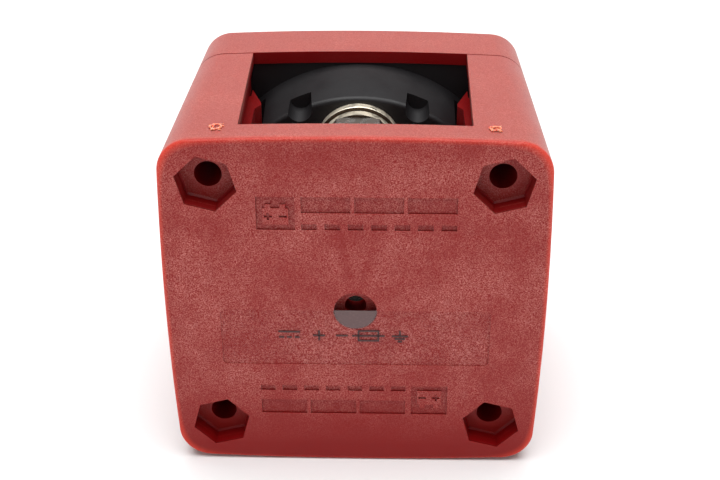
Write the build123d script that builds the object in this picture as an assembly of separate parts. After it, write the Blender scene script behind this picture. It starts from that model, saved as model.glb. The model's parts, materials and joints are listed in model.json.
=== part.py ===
from build123d import *
import math
import os

# Battery on/off switch with two threaded terminal studs. Millimetres.
# Each piece is drawn with the knob axis along +Z and the mounting face on Z = 0, then stood up by
# stand(): the mounting face looks along -Y, the knob points along +Y and +Z is up.
# In the drawing frame -Y is the upper cable window, and "height" is the distance from the mounting face.

# ---- outer shape --------------------------------------------------------------------------------
BODY_WIDTH = 69.6          # across the middle of two opposite sides, at the mounting face
SIDE_BOW = 0.9             # how far a side's middle stands out past its ends
CORNER_RADIUS = 6.2
COVER_HEIGHT = 42.0        # mounting face to the parting line
FRONT_HEIGHT = 13.0        # parting line to the front rim
COVER_DRAFT = 1.3          # each side leans in by this much over the cover's height
FRONT_DRAFT = 0.4          # and by this much more over the front housing's height
COVER_WALL = 2.3
FRONT_WALL = 2.36
BASE_EDGE_ROUND = 0.6
FRONT_EDGE_ROUND = 0.9
PARTING_GAP = 0.25
PAST = 1.0                 # how far a cut runs past the surface it opens

# ---- base of the cover --------------------------------------------------------------------------
FLOOR_THICKNESS = 6.3
SCREW_PITCH = 51.66        # square pattern of the four mounting screws
SCREW_HOLE_RADIUS = 2.45   # clears a number 10 screw
NUT_POCKET_FLATS = 9.66    # takes a 3/8 in across-flats nut
NUT_POCKET_DEPTH = 4.0
NUT_POCKET_CHAMFER = 0.35  # along the edge of the pocket's floor
POST_INNER = 21.8          # where a corner post starts, from the middle
POST_ROUND = 3.5
CENTRE_HOLE_RADIUS = 2.0
CENTRE_SINK_RADIUS = 3.9
CENTRE_SINK_DEPTH = 2.0
GATE_OFFSET = 24.1         # moulding gate marks beside each cable window
GATE_HEIGHT = 5.0
GATE_RADIUS = 0.5
GATE_STANDS_OUT = 0.15

# ---- shallow marks sunk in the base: a battery sign with its poles, and plain bars --------------
MARK_DEPTH = 0.3
MARK_MIDDLE = 20.2         # from the base's middle to the middle of a mark
MARK_ICON_X = -13.9
MARK_ICON_WIDTH = 6.8
MARK_ICON_HEIGHT = 6.6
MARK_GAP = 0.7             # between two bars of the top row
MARK_FRAME = 1.1           # width of the frame round the battery
MARK_CASE_DROP = 2.3       # from the frame's outer edge to the battery's top
MARK_POLE_X = 1.3
MARK_POLE_HALF = 0.5
MARK_POLE_RISE = 0.8
MARK_SIGN_HALF = 0.7
MARK_SIGN_LINE = 0.4
MARK_SIGN_SHIFT = 0.6
MARK_BAR_START = -9.4
MARK_BAR_END = 17.9
MARK_TOP_BARS = 3
MARK_LOW_BARS = 7
MARK_TOP_BAR_HEIGHT = 3.2
MARK_LOW_BAR_HEIGHT = 1.2

# ---- cable windows and snap fingers -------------------------------------------------------------
WINDOW_HALF_BOTTOM = 20.45
WINDOW_HALF_TOP = 21.1
FINGER_INNER = 20.15
FINGER_THICKNESS = 1.2
FINGER_ROOT_THICKNESS = 2.4  # joined to the corner post up to the slot's floor
FINGER_SLOT_DEPTH = 5.1    # parting line back to the slot's floor
FINGER_NEAR = 19.0         # the finger's two edges, from the middle
FINGER_FAR = 26.0
FINGER_END_DROP = 1.9      # parting line back to the finger's end
BARB_REACH = 1.05
BARB_START = 1.3           # drum face to the barb; it slopes back to its tip, so the cover can be pulled off
BARB_TIP_START = 3.0       # drum face to the two edges of the barb's tip
BARB_TIP_END = 4.0
CATCH_LEDGE = 1.6          # thickness of the ledge in the drum's notch, which the barb hooks over
FINGER_GAP = 0.3

# ---- rear housing (black) -----------------------------------------------------------------------
DRUM_REACH = 12.2          # parting line back to the drum's rear face
DRUM_FACE_RADIUS = 28.9
DRUM_ROOT_RADIUS = 30.8
DRUM_RIM_ROUND = 0.9
BACK_WALL = 5.0
PLATE_STEP = 0.35          # parting line to the rear face of the square plate
PLATE_THICKNESS = 5.65
PLATE_SIDE_GAP = 0.12
CHAMBER_RADIUS = 25.0
RECESS_X = 11.4            # blind recesses in the drum's side, narrower towards their floor
RECESS_RIM_Y = 26.3
RECESS_RIM_RADIUS = 2.42
RECESS_FLOOR_Y = 26.7
RECESS_FLOOR_RADIUS = 2.05
RECESS_DEPTH = 4.6
RECESS_LENGTH = 12.0       # out past the drum's side

# ---- terminals ----------------------------------------------------------------------------------
STUD_SPACING = 39.2
STUD_RADIUS = 4.76         # 3/8 in, on the free end
STUD_SHANK_RADIUS = 4.6    # under the nut and through the back wall
STUD_SHANK_REACH = 0.3     # how far the shank shows past the nut
STUD_REACH = 21.5          # drum face to the stud's tip
STUD_TIP_CHAMFER = 0.9
FLANGE_RADIUS = 8.2
FLANGE_THICKNESS = 1.8
FLANGE_ROUND = 0.35
STUD_HEAD_RADIUS = 6.5
STUD_HEAD_THICKNESS = 2.0
STUD_HEAD_WALL_GAP = 0.2   # to the chamber's wall
LOCK_WASHER_RADIUS = 7.55
LOCK_WASHER_THICKNESS = 2.1
LOCK_WASHER_SPLIT = 0.9
LOCK_WASHER_SLANT = 20     # of the split, in degrees
LOCK_WASHER_TURN = 160     # where the split is, in degrees
NUT_FLATS = 14.29
NUT_HEIGHT = 8.2
NUT_ROUND_IN = 0.05        # the turned round that takes the corners off both ends
NUT_ROUND_RISE = 0.7
NUT_ROUND_RUN = 1.1
STUD_CLEARANCE = 0.1       # washers and nuts around a stud

# ---- contacts -----------------------------------------------------------------------------------
TIP_RADIUS = 4.0
FIXED_TIP_THICKNESS = 0.8
MOVING_TIP_THICKNESS = 1.0
CONTACT_GAP = 0.1
BRIDGE_WIDTH = 11.0
BRIDGE_THICKNESS = 3.0
BRIDGE_END_RADIUS = 23.8
BRIDGE_FLOAT = 0.8
BRIDGE_CHAMFER = 0.4
BRIDGE_TOP_GAP = 0.3       # over the bridge at the end of its float
MOVING_TIP_ROUND = 0.3
PAD_RADIUS = 4.4
SPRING_SEAT_THICKNESS = 0.6
SPRING_SEAT_SIDE_GAP = 0.5 # to the spring pocket's wall
SPIGOT_RISE = 0.8
SPIGOT_CLEARANCE = 0.2     # inside the spring
CONTACT_SPRING_RADIUS = 3.9
CONTACT_SPRING_WIRE = 0.8
CONTACT_SPRING_TURNS = 2.5

# ---- rotor, shaft and detent --------------------------------------------------------------------
DISC_RADIUS = 23.6
DISC_RISE = 8.4            # chamber floor to the disc
DISC_THICKNESS = 2.4
HUB_RADIUS = 11.0
HUB_FLOOR_GAP = 1.1
BRIDGE_SIDE_CLEARANCE = 0.3
SPRING_POCKET_RADIUS = 5.5
SHAFT_RADIUS = 7.95
BUSHING_CLEARANCE = 0.05
BUSHING_STEP = 0.5         # the bushing's boss inside the detent plate's bore
BUSHING_BOSS_HEIGHT = 0.9
DRIVE_SQUARE = 9.0
DRIVE_CLEARANCE = 0.08
DRIVE_CORNER = 0.6
DRIVE_END_GAP = 0.2
DRIVE_LENGTH = 13.2        # dial recess to the end of the square drive
DETENT_CIRCLE = 15.0
BALL_RADIUS = 2.0
BALL_CLEARANCE = 0.06
BALL_SEAT_CLEARANCE = 0.03
BALL_TRACK_GAP = 0.05
BALL_SPRING_RADIUS = 1.3
BALL_SPRING_WIRE = 0.4
BALL_SPRING_TURNS = 4.5
BALL_DROP = 0.5
BALL_BOSS_RADIUS = 3.6
BALL_BOSS_GAP = 0.8        # between the boss and the detent plate
BALL_BOSS_DEPTH = 8.3
BALL_BOSS_FLOOR = 1.2      # left under the detent spring
DETENT_PLATE_THICKNESS = 0.8
DETENT_PLATE_INNER = 13.0
DETENT_PLATE_OUTER = 20.0
DETENT_PIN_RADIUS = 1.0    # two pins of the front housing that hold the detent plate
DETENT_PIN_TURN = 45
WASHER_THICKNESS = 0.8
WASHER_RUNNING_GAP = 0.1
WASHER_BORE_CLEARANCE = 0.15
O_RING_SECTION = 1.9
O_RING_RISE = 1.8          # front plate's back to the middle of the ring
O_RING_SIDE_GAP = 0.1      # on each side of the ring in its groove
O_RING_DEPTH_GAP = 0.02
O_RING_SHRINK = 0.01
GASKET_THICKNESS = 0.8
GASKET_HOLE_CLEARANCE = 0.2

# ---- front of the housing and knob --------------------------------------------------------------
FRONT_PLATE_THICKNESS = 4.0
DIAL_RECESS_RADIUS = 30.3
LABEL_THICKNESS = 0.25
LABEL_INNER_RADIUS = 20.8
LABEL_OUTER_RADIUS = 29.8
SCREW_SINK_RADIUS = 4.6
SCREW_SINK_DEPTH = 2.2
KNOB_RISE = 23.0           # front rim to the knob's top
KNOB_SKIRT_RADIUS = 20.0
KNOB_SKIRT_HEIGHT = 4.6
KNOB_SKIRT_ROUND = 1.2
KNOB_LIFT = 0.4            # gap between the dial recess and the skirt
GRIP_LENGTH = 54.0
GRIP_WIDTH = 15.5
GRIP_CORNER = 7.0
GRIP_TOP_ROUND = 3.0
GRIP_TAPER = 2             # degrees
GRIP_HOLLOW_CORNER = 2.5
GRIP_HOLLOW_IN = 0.5       # the hollow's sides further in than the wall, for the taper
GRIP_LIFT = 3.2            # the grip's underside above the dial recess
KNOB_WALL = 2.4
KNOB_BOSS_RADIUS = 7.4
KNOB_SCREW_RADIUS = 2.0
KNOB_SCREW_HEAD_RADIUS = 3.6
KNOB_SCREW_HEAD_HEIGHT = 2.6
KNOB_SCREW_LENGTH = 13.0
KNOB_SCREW_CLEARANCE = 0.1
KNOB_SCREW_HEAD_ROUND = 0.8
KNOB_SCREW_CROSS_HALF = 2.0
KNOB_SCREW_CROSS_WIDTH = 0.9
KNOB_SCREW_CROSS_DEPTH = 1.3
KNOB_CAP_RADIUS = 4.6
KNOB_CAP_THICKNESS = 1.6
KNOB_CAP_ROUND = 0.4
POINTER_LENGTH = 11.0
POINTER_WIDTH = 2.6
POINTER_DEPTH = 1.2
POINTER_END = 4.5          # from the grip's end

# ---- housing screws, under the dial label -------------------------------------------------------
HOUSING_SCREW_X = 11.1
HOUSING_SCREW_Y = 24.9
HOUSING_SCREW_SINK = 2.0
HOUSING_SCREW_HEAD_RADIUS = 2.2
HOUSING_SCREW_HEAD_HEIGHT = 1.8
HOUSING_SCREW_HEAD_ROUND = 0.4
HOUSING_SCREW_RADIUS = 1.45
HOUSING_SCREW_LENGTH = 12.6
HOUSING_SCREW_END_GAP = 0.3
HOUSING_SCREW_SOCKET = 1.1
SCREW_CLEARANCE = 0.05
SEAT_CLEARANCE = 0.02      # between pieces that are fixed together

# ---- label on the base --------------------------------------------------------------------------
BASE_LABEL_WIDTH = 49.4
BASE_LABEL_HEIGHT = 12.0
BASE_LABEL_THICKNESS = 0.12
BASE_LABEL_CORNER = 0.8

# ---- heights worked out from the sizes above ----------------------------------------------------
RIM_HEIGHT = COVER_HEIGHT + FRONT_HEIGHT
TOTAL_HEIGHT = RIM_HEIGHT + KNOB_RISE
DRUM_FACE_HEIGHT = COVER_HEIGHT - DRUM_REACH
CHAMBER_FLOOR = DRUM_FACE_HEIGHT + BACK_WALL
PLATE_HEIGHT = COVER_HEIGHT + PLATE_STEP
PLATE_FRONT = PLATE_HEIGHT + PLATE_THICKNESS
RECESS_FLOOR_HEIGHT = DRUM_FACE_HEIGHT + RECESS_DEPTH
FINGER_SLOT_FLOOR = COVER_HEIGHT - FINGER_SLOT_DEPTH
FINGER_TOP = COVER_HEIGHT - FINGER_END_DROP
BARB_LOW = DRUM_FACE_HEIGHT + BARB_START
BARB_TIP_LOW = DRUM_FACE_HEIGHT + BARB_TIP_START
BARB_TIP_HIGH = DRUM_FACE_HEIGHT + BARB_TIP_END
CATCH_HEIGHT = DRUM_FACE_HEIGHT + CATCH_LEDGE
FRONT_PLATE_BACK = PLATE_FRONT + GASKET_THICKNESS
DIAL_HEIGHT = FRONT_PLATE_BACK + FRONT_PLATE_THICKNESS
FIXED_TIP_TOP = CHAMBER_FLOOR + STUD_HEAD_THICKNESS + FIXED_TIP_THICKNESS
BRIDGE_BOTTOM = FIXED_TIP_TOP + CONTACT_GAP + MOVING_TIP_THICKNESS
BRIDGE_TOP = BRIDGE_BOTTOM + BRIDGE_THICKNESS
DISC_HEIGHT = CHAMBER_FLOOR + DISC_RISE
HUB_TOP_HEIGHT = FRONT_PLATE_BACK - BUSHING_BOSS_HEIGHT - WASHER_THICKNESS - 2 * WASHER_RUNNING_GAP
O_RING_HEIGHT = FRONT_PLATE_BACK + O_RING_RISE
DRIVE_HEIGHT = DIAL_HEIGHT + DRIVE_LENGTH
DETENT_PLATE_HEIGHT = FRONT_PLATE_BACK - DETENT_PLATE_THICKNESS
BALL_HEIGHT = DETENT_PLATE_HEIGHT - BALL_TRACK_GAP - BALL_RADIUS
BALL_BOSS_TOP_HEIGHT = DETENT_PLATE_HEIGHT - BALL_BOSS_GAP
BALL_BOSS_FLOOR_HEIGHT = BALL_BOSS_TOP_HEIGHT - BALL_BOSS_DEPTH
BALL_POCKET_FLOOR = BALL_BOSS_FLOOR_HEIGHT + BALL_BOSS_FLOOR
KNOB_BOTTOM = DIAL_HEIGHT + KNOB_LIFT
STUD_OFFSET = STUD_SPACING / 2
STUD_TIP_HEIGHT = DRUM_FACE_HEIGHT - STUD_REACH
NUT_HIGH_HEIGHT = DRUM_FACE_HEIGHT - FLANGE_THICKNESS - LOCK_WASHER_THICKNESS - 2 * SEAT_CLEARANCE
NUT_LOW_HEIGHT = NUT_HIGH_HEIGHT - NUT_HEIGHT
HOUSING_SCREW_SEAT = DIAL_HEIGHT - HOUSING_SCREW_SINK
HOUSING_SCREW_END = HOUSING_SCREW_SEAT - HOUSING_SCREW_LENGTH
CAP_SEAT_HEIGHT = TOTAL_HEIGHT - KNOB_CAP_THICKNESS
SCREW_SEAT_HEIGHT = DRIVE_HEIGHT + KNOB_WALL


def stand(shape):
    """Turn a piece from the drawing frame to the part's own frame."""
    return Rot(-90, 0, 0) * shape


def disc(radius, low, high, x=0.0, y=0.0):
    return Pos(x, y, low) * Cylinder(radius, high - low, align=(Align.CENTER, Align.CENTER, Align.MIN))


def ring(inner, outer, low, high, x=0.0, y=0.0):
    return disc(outer, low, high, x, y) - disc(inner, low - PAST, high + PAST, x, y)


def block(x0, x1, y0, y1, z0, z1):
    return Pos((x0 + x1) / 2, (y0 + y1) / 2, (z0 + z1) / 2) * Box(x1 - x0, y1 - y0, z1 - z0)


def four_corners(offset):
    return [(sx * offset, sy * offset) for sx in (-1, 1) for sy in (-1, 1)]


def four_housing_screws():
    return [(sx * HOUSING_SCREW_X, sy * HOUSING_SCREW_Y) for sx in (-1, 1) for sy in (-1, 1)]


def on_circle(radius, turn):
    return radius * math.cos(math.radians(turn)), radius * math.sin(math.radians(turn))


def detent_pins():
    middle = (DETENT_PLATE_INNER + DETENT_PLATE_OUTER) / 2
    return [on_circle(middle, DETENT_PIN_TURN), on_circle(middle, DETENT_PIN_TURN + 180)]


def body_outline(half_width, height, corner=CORNER_RADIUS, bow=SIDE_BOW):
    """Square with bowed sides and round corners, half_width out to the middle of a side."""
    end = half_width - bow
    edges = []
    for quarter in range(4):
        side = ThreePointArc((-end, -end), (0, -half_width), (end, -end))
        edges.append(Rot(0, 0, 90 * quarter) * side)
    face = make_face(Wire(edges))
    face = fillet(face.vertices(), corner)
    return Pos(0, 0, height) * face


def bowed_block(half_low, half_high, low, high, corner=CORNER_RADIUS, bow=SIDE_BOW):
    return loft([body_outline(half_low, low, corner, bow), body_outline(half_high, high, corner, bow)])


def half_width_at(height):
    """Half the body's width at a height, across the middle of its sides."""
    base = BODY_WIDTH / 2
    if height <= COVER_HEIGHT:
        return base - COVER_DRAFT * height / COVER_HEIGHT
    return base - COVER_DRAFT - FRONT_DRAFT * (height - COVER_HEIGHT) / FRONT_HEIGHT


def edges_at(shape, height):
    return [e for e in shape.edges() if abs(e.bounding_box().min.Z - height) < 1e-3
            and abs(e.bounding_box().max.Z - height) < 1e-3]


# ---- isolating cover ----------------------------------------------------------------------------
def window_cut(side):
    """Cable window through one wall, wider towards the parting line and open to it."""
    top = COVER_HEIGHT + 1
    slope = (WINDOW_HALF_TOP - WINDOW_HALF_BOTTOM) / (COVER_HEIGHT - FLOOR_THICKNESS)
    wide = WINDOW_HALF_TOP + slope
    outline = Polyline((-WINDOW_HALF_BOTTOM, FLOOR_THICKNESS), (WINDOW_HALF_BOTTOM, FLOOR_THICKNESS),
                       (wide, top), (-wide, top), close=True)
    profile = make_face(Plane.XZ * outline)
    depth = BODY_WIDTH / 2 - FINGER_FAR
    start = Pos(0, side * (BODY_WIDTH / 2 + PAST), 0) * profile
    return extrude(start, amount=depth + PAST, dir=(0, -side, 0))


def snap_finger(side_x, side_y):
    """Springy finger beside a corner post; its barb hooks over the ledge in the drum's notch."""
    inner = FINGER_INNER
    outer = inner + FINGER_THICKNESS
    root = inner + FINGER_ROOT_THICKNESS
    tip = inner - BARB_REACH
    low = FLOOR_THICKNESS - PAST
    outline = Polyline((root, low), (root, FINGER_SLOT_FLOOR), (outer, FINGER_SLOT_FLOOR),
                       (outer, FINGER_TOP), (tip, BARB_TIP_HIGH), (tip, BARB_TIP_LOW), (inner, BARB_LOW),
                       (inner, low), close=True)
    finger = extrude(make_face(Plane.XZ * outline), amount=FINGER_FAR - FINGER_NEAR)
    return turned_copy(Pos(0, FINGER_FAR, 0) * finger, side_x, side_y)


def turned_copy(shape, side_x, side_y):
    """Copy of a shape in the +X +Y corner, mirrored into another corner."""
    if side_x < 0:
        shape = mirror(shape, Plane.YZ)
    if side_y < 0:
        shape = mirror(shape, Plane.XZ)
    return shape


def corner_post(side_x, side_y):
    far = BODY_WIDTH / 2
    post = block(POST_INNER, far, POST_INNER, far, FLOOR_THICKNESS - PAST, COVER_HEIGHT)
    inner_edge = post.edges().filter_by(Axis.Z).sort_by(lambda e: e.center().X + e.center().Y)[0]
    return turned_copy(fillet(inner_edge, POST_ROUND), side_x, side_y)


def nut_pocket(x, y):
    """Hexagon pocket with one flat square to the diagonal of the base."""
    turn = math.degrees(math.atan2(y, x)) + 30
    hexagon = RegularPolygon(NUT_POCKET_FLATS / 2, 6, major_radius=False)
    pocket = Pos(x, y, -PAST) * extrude(Rot(0, 0, turn) * hexagon, amount=NUT_POCKET_DEPTH + PAST)
    return chamfer(edges_at(pocket, NUT_POCKET_DEPTH), NUT_POCKET_CHAMFER)


def bar_row(count, middle_y, height, gap):
    """Row of equal bars between the two ends of the mark."""
    pitch = (MARK_BAR_END - MARK_BAR_START + gap) / count
    starts = [MARK_BAR_START + index * pitch for index in range(count)]
    return [sunk(x, x + pitch - gap, middle_y - height / 2, middle_y + height / 2) for x in starts]


def sunk(x0, x1, y0, y1):
    return block(x0, x1, y0, y1, -PAST, MARK_DEPTH)


def battery_sign():
    """A battery with two poles left standing in a sunk square, with its plus and minus sunk in it."""
    x0 = MARK_ICON_X - MARK_ICON_WIDTH / 2
    x1 = MARK_ICON_X + MARK_ICON_WIDTH / 2
    y0 = -MARK_MIDDLE - MARK_ICON_HEIGHT / 2
    y1 = -MARK_MIDDLE + MARK_ICON_HEIGHT / 2
    sign = sunk(x0, x1, y0, y1)
    case_y = y0 + MARK_CASE_DROP
    sign -= block(x0 + MARK_FRAME, x1 - MARK_FRAME, case_y, y1 - MARK_FRAME, -2 * PAST, MARK_DEPTH)
    for side in (-1, 1):
        pole = MARK_ICON_X + side * MARK_POLE_X
        sign -= block(pole - MARK_POLE_HALF, pole + MARK_POLE_HALF, case_y - MARK_POLE_RISE, case_y,
                      -2 * PAST, MARK_DEPTH)
        sign_y = (y0 + y1) / 2 + MARK_SIGN_SHIFT
        sign += sunk(pole - MARK_SIGN_HALF, pole + MARK_SIGN_HALF, sign_y - MARK_SIGN_LINE / 2,
                     sign_y + MARK_SIGN_LINE / 2)
    plus = MARK_ICON_X - MARK_POLE_X
    return sign + sunk(plus - MARK_SIGN_LINE / 2, plus + MARK_SIGN_LINE / 2, sign_y - MARK_SIGN_HALF,
                       sign_y + MARK_SIGN_HALF)


def base_mark():
    """Battery sign beside two rows of plain bars, drawn for the upper half."""
    top_y = -MARK_MIDDLE - MARK_ICON_HEIGHT / 2 + MARK_TOP_BAR_HEIGHT / 2
    low_y = -MARK_MIDDLE + MARK_ICON_HEIGHT / 2 - MARK_LOW_BAR_HEIGHT / 2
    top_bars = bar_row(MARK_TOP_BARS, top_y, MARK_TOP_BAR_HEIGHT, MARK_GAP)
    low_bars = bar_row(MARK_LOW_BARS, low_y, MARK_LOW_BAR_HEIGHT, 2 * MARK_GAP)
    return [battery_sign()] + top_bars + low_bars


def isolating_cover():
    top = COVER_HEIGHT - PARTING_GAP
    outer_low = half_width_at(0)
    outer_high = half_width_at(top)
    outer = bowed_block(outer_low, outer_high, 0, top)
    shell = fillet(edges_at(outer, 0), BASE_EDGE_ROUND)
    inner = bowed_block(half_width_at(FLOOR_THICKNESS) - COVER_WALL, half_width_at(top) - COVER_WALL,
                        FLOOR_THICKNESS, top, CORNER_RADIUS - COVER_WALL)
    inner += Pos(0, 0, top) * extrude(body_outline(half_width_at(top) - COVER_WALL, 0,
                                                   CORNER_RADIUS - COVER_WALL), amount=1)
    shell -= inner
    for side in (-1, 1):
        shell -= window_cut(side)
    for x, y in four_corners(1):
        shell += corner_post(x, y) & outer
        shell += snap_finger(x, y)
    for x, y in four_corners(SCREW_PITCH / 2):
        shell -= disc(SCREW_HOLE_RADIUS, -PAST, COVER_HEIGHT + PAST, x, y)
        shell -= nut_pocket(x, y)
    for mark in base_mark():
        shell -= mark
        shell -= Rot(0, 0, 180) * mark
    shell -= label_shape(SEAT_CLEARANCE, -PAST, BASE_LABEL_THICKNESS + 2 * SEAT_CLEARANCE)
    shell -= disc(CENTRE_HOLE_RADIUS, -PAST, FLOOR_THICKNESS + PAST)
    shell -= disc(CENTRE_SINK_RADIUS, -PAST, CENTRE_SINK_DEPTH)
    for side in (-1, 1):
        face_y = -half_width_at(GATE_HEIGHT) + SIDE_BOW * (GATE_OFFSET / (BODY_WIDTH / 2)) ** 2
        stub = Rot(90, 0, 0) * Cylinder(GATE_RADIUS, 2 * GATE_STANDS_OUT + PAST)
        shell += Pos(side * GATE_OFFSET, face_y + PAST / 2, GATE_HEIGHT) * stub
    return shell


def label_shape(grow, low, high):
    """The base film's outline, from the middle of the base down, between two heights."""
    film = block(-BASE_LABEL_WIDTH / 2 - grow, BASE_LABEL_WIDTH / 2 + grow, -grow, BASE_LABEL_HEIGHT + grow,
                 low, high)
    return fillet(film.edges().filter_by(Axis.Z), BASE_LABEL_CORNER)


def base_label():
    """Clear film let into the base; it covers the lower half of the centre hole."""
    return label_shape(0, SEAT_CLEARANCE, SEAT_CLEARANCE + BASE_LABEL_THICKNESS)


# ---- front housing ------------------------------------------------------------------------------
def front_housing():
    outer = bowed_block(half_width_at(COVER_HEIGHT), half_width_at(RIM_HEIGHT), COVER_HEIGHT, RIM_HEIGHT)
    housing = fillet(edges_at(outer, RIM_HEIGHT), FRONT_EDGE_ROUND)
    inner_half = half_width_at(COVER_HEIGHT) - FRONT_WALL
    inner_corner = CORNER_RADIUS - FRONT_WALL
    housing -= extrude(body_outline(inner_half, COVER_HEIGHT - PAST, inner_corner),
                       amount=FRONT_PLATE_BACK - COVER_HEIGHT + PAST)
    housing -= disc(DIAL_RECESS_RADIUS, DIAL_HEIGHT, RIM_HEIGHT + PAST)
    bushing_low = FRONT_PLATE_BACK - BUSHING_BOSS_HEIGHT
    housing += disc(DETENT_PLATE_INNER - BUSHING_STEP, bushing_low, FRONT_PLATE_BACK)
    housing -= disc(SHAFT_RADIUS + BUSHING_CLEARANCE, COVER_HEIGHT, RIM_HEIGHT + PAST)
    for x, y in four_corners(SCREW_PITCH / 2):
        housing -= disc(SCREW_HOLE_RADIUS, COVER_HEIGHT - PAST, RIM_HEIGHT + PAST, x, y)
        housing -= disc(SCREW_SINK_RADIUS, RIM_HEIGHT - SCREW_SINK_DEPTH, RIM_HEIGHT + PAST, x, y)
    for x, y in four_housing_screws():
        housing -= disc(HOUSING_SCREW_RADIUS + SCREW_CLEARANCE, FRONT_PLATE_BACK - PAST, DIAL_HEIGHT, x, y)
        housing -= disc(HOUSING_SCREW_HEAD_RADIUS + SCREW_CLEARANCE, HOUSING_SCREW_SEAT, DIAL_HEIGHT + PAST,
                        x, y)
    for x, y in detent_pins():
        housing += disc(DETENT_PIN_RADIUS, DETENT_PLATE_HEIGHT, FRONT_PLATE_BACK, x, y)
    return housing


def dial_label():
    low = DIAL_HEIGHT + SEAT_CLEARANCE
    return ring(LABEL_INNER_RADIUS, LABEL_OUTER_RADIUS, low, low + LABEL_THICKNESS)


# ---- rear housing -------------------------------------------------------------------------------
def rear_housing():
    """Square plate with a tapered drum that holds the studs and the switching chamber."""
    depth = PLATE_HEIGHT - DRUM_FACE_HEIGHT
    drum = Pos(0, 0, DRUM_FACE_HEIGHT + depth / 2) * Cone(DRUM_FACE_RADIUS, DRUM_ROOT_RADIUS, depth)
    drum = fillet(edges_at(drum, DRUM_FACE_HEIGHT), DRUM_RIM_ROUND)
    half = half_width_at(COVER_HEIGHT) - FRONT_WALL - PLATE_SIDE_GAP
    plate = extrude(body_outline(half, PLATE_HEIGHT, CORNER_RADIUS - FRONT_WALL), amount=PLATE_THICKNESS)
    housing = drum + plate
    for x, y in four_corners(1):
        housing -= turned_copy(finger_notch(), x, y)
    housing -= disc(CHAMBER_RADIUS, CHAMBER_FLOOR, PLATE_FRONT + PAST)
    for x, y in four_corners(SCREW_PITCH / 2):
        housing -= disc(SCREW_HOLE_RADIUS, PLATE_HEIGHT - PAST, PLATE_FRONT + PAST, x, y)
    for x, y in four_corners(1):
        housing -= turned_copy(drum_recess(), x, y)
    for x, y in four_housing_screws():
        housing -= disc(HOUSING_SCREW_RADIUS + SCREW_CLEARANCE, HOUSING_SCREW_END - HOUSING_SCREW_END_GAP,
                        PLATE_FRONT + PAST, x, y)
    for y in (-STUD_OFFSET, STUD_OFFSET):
        housing -= disc(STUD_SHANK_RADIUS + SEAT_CLEARANCE, DRUM_FACE_HEIGHT - PAST, CHAMBER_FLOOR + PAST,
                        0, y)
    for x in (-STUD_OFFSET, STUD_OFFSET):
        housing += disc(PAD_RADIUS, CHAMBER_FLOOR, FIXED_TIP_TOP, x, 0)
    return housing


def finger_notch():
    """Room for a snap finger in the drum's side; the barb hooks over the ledge left at its mouth."""
    near = FINGER_NEAR - FINGER_GAP
    far = DRUM_ROOT_RADIUS
    notch = block(FINGER_INNER - FINGER_GAP, far, near, far, DRUM_FACE_HEIGHT - PAST, CATCH_HEIGHT)
    return notch + block(FINGER_INNER - BARB_REACH - FINGER_GAP, far, near, far, CATCH_HEIGHT,
                         FINGER_TOP + FINGER_GAP)


def drum_recess():
    """Round-ended recess open through the drum's side, drawn in the +X +Y corner."""
    rim = slot_face(RECESS_RIM_RADIUS, RECESS_RIM_Y, DRUM_FACE_HEIGHT)
    floor = slot_face(RECESS_FLOOR_RADIUS, RECESS_FLOOR_Y, RECESS_FLOOR_HEIGHT)
    return loft([rim, floor]) + extrude(rim, amount=PAST, dir=(0, 0, -1))


def slot_face(radius, end_y, height):
    """Slot that runs outwards from a round end at end_y."""
    slot = SlotCenterToCenter(RECESS_LENGTH, 2 * radius, rotation=90)
    return Pos(RECESS_X, end_y + RECESS_LENGTH / 2, height) * slot


def housing_screws():
    """Four screws from the front plate into the drum, heads under the dial label."""
    screws = []
    for x, y in four_housing_screws():
        top = HOUSING_SCREW_SEAT + HOUSING_SCREW_HEAD_HEIGHT
        head = disc(HOUSING_SCREW_HEAD_RADIUS, HOUSING_SCREW_SEAT, top, x, y)
        head = fillet(edges_at(head, top), HOUSING_SCREW_HEAD_ROUND)
        socket = Pos(x, y, top - HOUSING_SCREW_SOCKET)
        socket *= extrude(RegularPolygon(HOUSING_SCREW_SOCKET, 6), amount=HOUSING_SCREW_SOCKET + PAST)
        shank = disc(HOUSING_SCREW_RADIUS, HOUSING_SCREW_END, HOUSING_SCREW_SEAT, x, y)
        screws.append(head - socket + shank)
    return Compound(children=screws)


def housing_gasket():
    """Square sealing gasket between the plate and the front housing."""
    half = half_width_at(COVER_HEIGHT) - FRONT_WALL - PLATE_SIDE_GAP
    seal = extrude(body_outline(half, PLATE_FRONT, CORNER_RADIUS - FRONT_WALL), amount=GASKET_THICKNESS)
    seal -= disc(CHAMBER_RADIUS, PLATE_FRONT - PAST, FRONT_PLATE_BACK + PAST)
    wide = SCREW_HOLE_RADIUS + GASKET_HOLE_CLEARANCE
    for x, y in four_corners(SCREW_PITCH / 2):
        seal -= disc(wide, PLATE_FRONT - PAST, FRONT_PLATE_BACK + PAST, x, y)
    for x, y in four_housing_screws():
        hole = HOUSING_SCREW_RADIUS + SCREW_CLEARANCE
        seal -= disc(hole, PLATE_FRONT - PAST, FRONT_PLATE_BACK + PAST, x, y)
    return seal


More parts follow.
